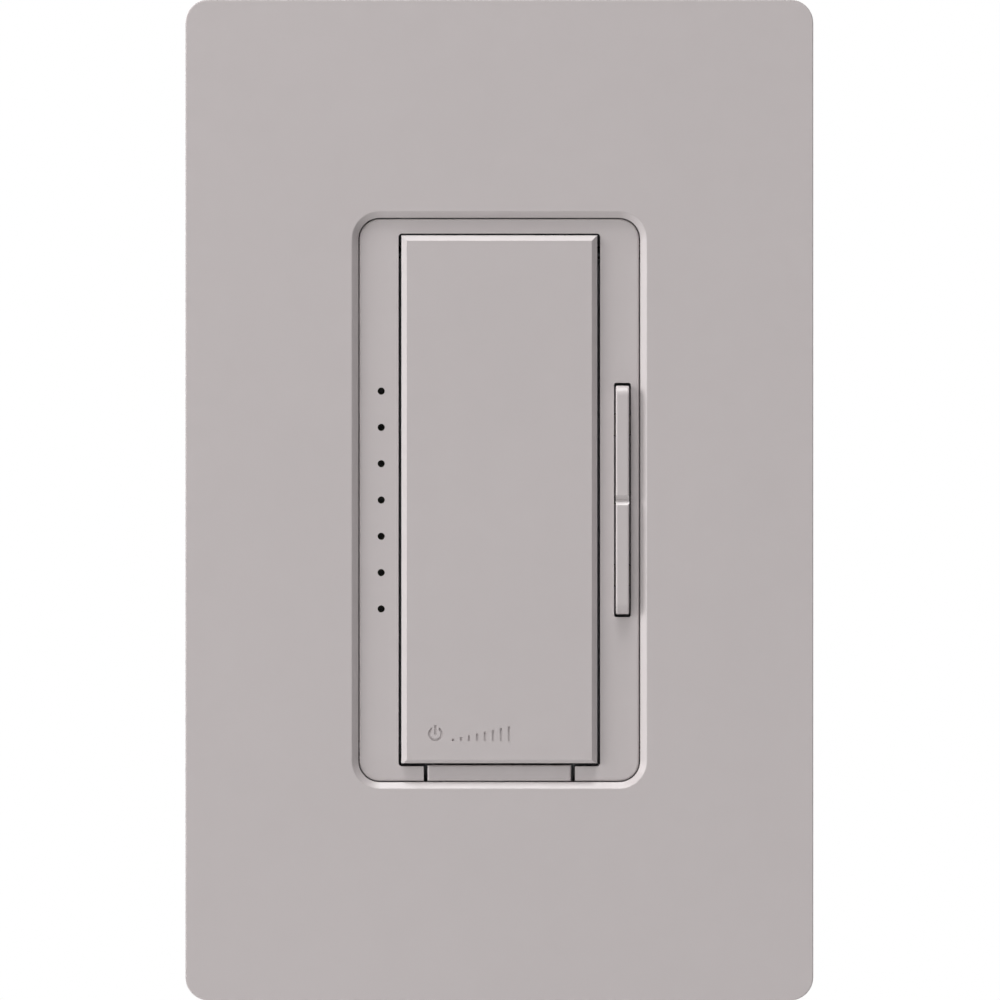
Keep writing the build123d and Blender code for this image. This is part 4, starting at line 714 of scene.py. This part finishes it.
def thread(mesh, radius, pitch, top, tip):
    """Closed threaded shank about Z, from its top down to its tip, with the thread fading at both ends."""
    depth = THREAD_DEPTH * pitch
    count = max(int((top - tip) / pitch * RINGS_PER_TURN), 2)
    rings = []
    for i in range(count + 1):
        height = top + (tip - top) * i / count
        from_tip = min(1.0, (count - i) / RINGS_PER_TURN)
        fade = min(from_tip, i / RINGS_PER_TURN)
        ring = []
        for k in range(SHANK_SIDES):
            phase = (height / pitch - k / SHANK_SIDES) % 1.0
            cut = depth * fade * abs(2 * phase - 1) + depth * TIP_TAPER * (1 - from_tip)
            turn = 2 * math.pi * k / SHANK_SIDES
            corner = ((radius - cut) * math.cos(turn), (radius - cut) * math.sin(turn), height)
            ring.append(mesh.verts.new(corner))
        rings.append(ring)
    for first, second in zip(rings, rings[1:]):
        ring_faces(mesh, second, first)
    mesh.faces.new(rings[0])
    mesh.faces.new(rings[-1][::-1])


def screw(head_outline, slot_width, slot_depth, radius, pitch, top, tip, neck=None):
    """Whole screw along Z with the top of its head at 0: slotted head, threaded shank, and a plain neck
    where a radius is given for one. The shank runs from top down to tip."""
    whole = bmesh.new()
    head = cut_head(head_outline, slot_width, slot_depth)
    whole.from_mesh(head)
    bpy.data.meshes.remove(head)
    if neck:
        upper, lower = top + 1.5 * MM, top - 0.2 * MM
        lathe(whole, [(0, upper), (neck, upper), (neck, lower), (0, lower)], SHANK_SIDES)
    thread(whole, radius, pitch, top, tip)
    data = bpy.data.meshes.new("screw")
    whole.to_mesh(data)
    whole.free()
    return data


def set_screws(node, source, direction_of):
    """One copy of a screw for each solid of a CAD node, its head towards a direction and its slot turned."""
    group = bmesh.new()
    for index, (low, high) in enumerate(solids(node)):
        direction = direction_of((low + high) / 2)
        top = (low + high) / 2
        axis = max(range(3), key=lambda i: abs(direction[i]))
        top[axis] = high[axis] if direction[axis] > 0 else low[axis]
        turn = direction.to_track_quat("Z", "X").to_matrix().to_4x4()
        twist = Matrix.Rotation(math.radians(FIRST_TWIST + NEXT_TWIST * index), 4, "Z")
        merged(group, source, Matrix.Translation(top) @ turn @ twist)
    bpy.data.meshes.remove(source)
    piece(node + "_detail", group, SLOT_OF[node], "base", node)


def length_of(node, axis):
    """Length of a screw node's first solid."""
    low, high = solids(node)[0]
    return high[axis] - low[axis]


def to_the_room(place):
    return TO_ROOM


def to_the_wall(place):
    return TO_WALL


def to_the_side(place):
    """Away from the middle, to the left or to the right."""
    return Vector((math.copysign(1, place.x), 0, 0))


def all_screws():
    """All six groups of screws, with slotted heads and real threads."""
    across, deep = 0, 1
    box_screw = screw(
        in_metres(BOX_SCREW_HEAD), slot_width=0.95 * MM, slot_depth=1.15 * MM, radius=1.75 * MM,
        pitch=0.79 * MM, top=-4.4 * MM, tip=-length_of("box_screws", deep), neck=1.45 * MM,
    )
    set_screws("box_screws", box_screw, to_the_room)
    for node, head, radius, pitch in (
        ("adapter_screws", 2.9 * MM, 1.45 * MM, 0.7 * MM),
        ("housing_screws", 2.1 * MM, 1.1 * MM, 0.8 * MM),
        ("triac_screw", 2.45 * MM, 1.45 * MM, 0.5 * MM),
    ):
        countersunk = screw(
            flat_head(head, radius * 0.9), slot_width=head / 3, slot_depth=head / 3.5, radius=radius,
            pitch=pitch, top=radius - head - 0.2 * MM, tip=-length_of(node, deep),
        )
        set_screws(node, countersunk, to_the_room)
    terminal_screw = screw(
        in_metres(TERMINAL_SCREW_HEAD), slot_width=1.0 * MM, slot_depth=0.9 * MM, radius=1.55 * MM,
        pitch=0.79 * MM, top=-2.1 * MM, tip=-length_of("terminal_screws", across),
    )
    set_screws("terminal_screws", terminal_screw, to_the_side)
    ground_screw = screw(
        in_metres(GROUND_SCREW_HEAD), slot_width=1.0 * MM, slot_depth=0.9 * MM, radius=1.45 * MM,
        pitch=0.79 * MM, top=-2.36 * MM, tip=-length_of("ground_screw", deep),
    )
    set_screws("ground_screw", ground_screw, to_the_wall)


all_screws()


# ---------------------------------------------------------------- coil spring
def coil_spring():
    """Compression spring with closed end turns."""
    low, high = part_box("paddle_return_spring")
    wire = 0.25 * MM
    turns, closed, per_turn = 6.5, 1.0, 28
    centre_x, centre_z = (low.x + high.x) / 2, (low.z + high.z) / 2
    radius = (high.x - low.x) / 2 - wire
    wall_end, room_end = high.y - wire, low.y + wire
    open_length = wall_end - room_end - 4 * wire
    path = []
    for i in range(int(turns * per_turn) + 1):
        turned = i / per_turn
        share = min(max((turned - closed) / (turns - 2 * closed), 0.0), 1.0)
        lift = 2 * wire * (min(turned, closed) + max(turned - turns + closed, 0.0)) / closed
        angle = 2 * math.pi * turned
        path.append(Vector((
            centre_x + radius * math.cos(angle),
            wall_end - lift - share * open_length,
            centre_z + radius * math.sin(angle),
        )))
    mesh = bmesh.new()
    tube(mesh, path, wire * 0.94)
    spring = piece("return_spring_coil", mesh, "spring_steel", "base", "paddle_return_spring")
    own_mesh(spring)


coil_spring()


# ---------------------------------------------------------------- choke
def choke_turns():
    """Turns of enamelled wire round the ring core, with both ends led down to the power board."""
    low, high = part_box("choke_core")
    centre = (low + high) / 2
    outer = (high.x - low.x) / 2
    inner = outer / 2
    wire, clearance = 0.33 * MM, 0.12 * MM
    half_width = (outer - inner) / 2 + clearance + wire
    half_depth = (high.y - low.y) / 2 + clearance + wire
    middle = (outer + inner) / 2
    turns, per_turn, arc = 27, 20, math.radians(305)
    path = []
    for i in range(turns * per_turn + 1):
        spin = 2 * math.pi * i / per_turn
        angle = arc * i / (turns * per_turn) - arc / 2 + math.pi / 2
        # a squared-off circle keeps the wire close to the core's flat sides
        across, deep = math.cos(spin), math.sin(spin)
        stretch = (abs(across) ** 4 + abs(deep) ** 4) ** -0.25
        radius = middle + half_width * across * stretch
        path.append(Vector((
            centre.x + radius * math.cos(angle), centre.y + half_depth * deep * stretch,
            centre.z + radius * math.sin(angle),
        )))
    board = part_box("power_board")[0].y

    def lead(start):
        """Straight on to the board from an end of the winding."""
        foot = Vector((start.x, board, start.z))
        return [start.lerp(foot, 0.5), foot]

    path = lead(path[0])[::-1] + path + lead(path[-1])
    mesh = bmesh.new()
    tube(mesh, path, wire, 8)
    piece("choke_wire", mesh, "copper", "base", "choke_winding", angle=60)


choke_turns()

# ---------------------------------------------------------------- solder joints
# One joint as (radius, height) corners in millimetres, from its tip down into the board.
SOLDER_CONE = ((0, 0.75), (0.34, 0.72), (0.42, 0.45), (0.6, 0.2), (0.95, 0.04), (1.0, -0.02), (0, -0.02))
TRIAC_LEAD_PITCH = 2.54 * MM


def solder_places():
    """X and Z of each lead that comes through the power board."""
    feet = [((low.x + high.x) / 2, (low.z + high.z) / 2) for low, high in solids("header_pins")]
    for node in ("service_contact_base", "service_fixed_contact"):
        low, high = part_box(node)
        feet.append(((low.x + high.x) / 2, high.z + 0.2 * MM))
    for node in ("line_terminal", "load_terminal", "remote_terminal"):
        low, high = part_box(node)
        near = low.x if low.x > 0 else high.x
        inset = math.copysign(0.5 * MM, near)
        feet += [(near + inset, (low.z + high.z) / 2 + shift) for shift in (-1.2 * MM, 1.2 * MM)]
    for node in ("film_capacitor", "electrolytic_capacitor", "varistor", "drum_inductor", "fuse",
                 "power_resistor"):
        low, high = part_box(node)
        inset = 0.15 * (high.x - low.x)
        feet += [(x, (low.z + high.z) / 2) for x in (low.x + inset, high.x - inset)]
    low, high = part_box("triac")
    feet += [((low.x + high.x) / 2 + lead * TRIAC_LEAD_PITCH, low.z + 0.3 * MM) for lead in (-1, 0, 1)]
    return feet


def solder_joints():
    """Small concave cones of solder on the wall side of the power board, one for each lead."""
    board_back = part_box("power_board")[1].y
    turn = TO_WALL.to_track_quat("Z", "X").to_matrix().to_4x4()
    mesh = bmesh.new()
    for x, z in solder_places():
        lathe(mesh, in_metres(SOLDER_CONE), 16, Matrix.Translation((x, board_back, z)) @ turn)
    piece("solder_joints", mesh, "silver_contact", "base")


solder_joints()

bpy.context.view_layer.update()
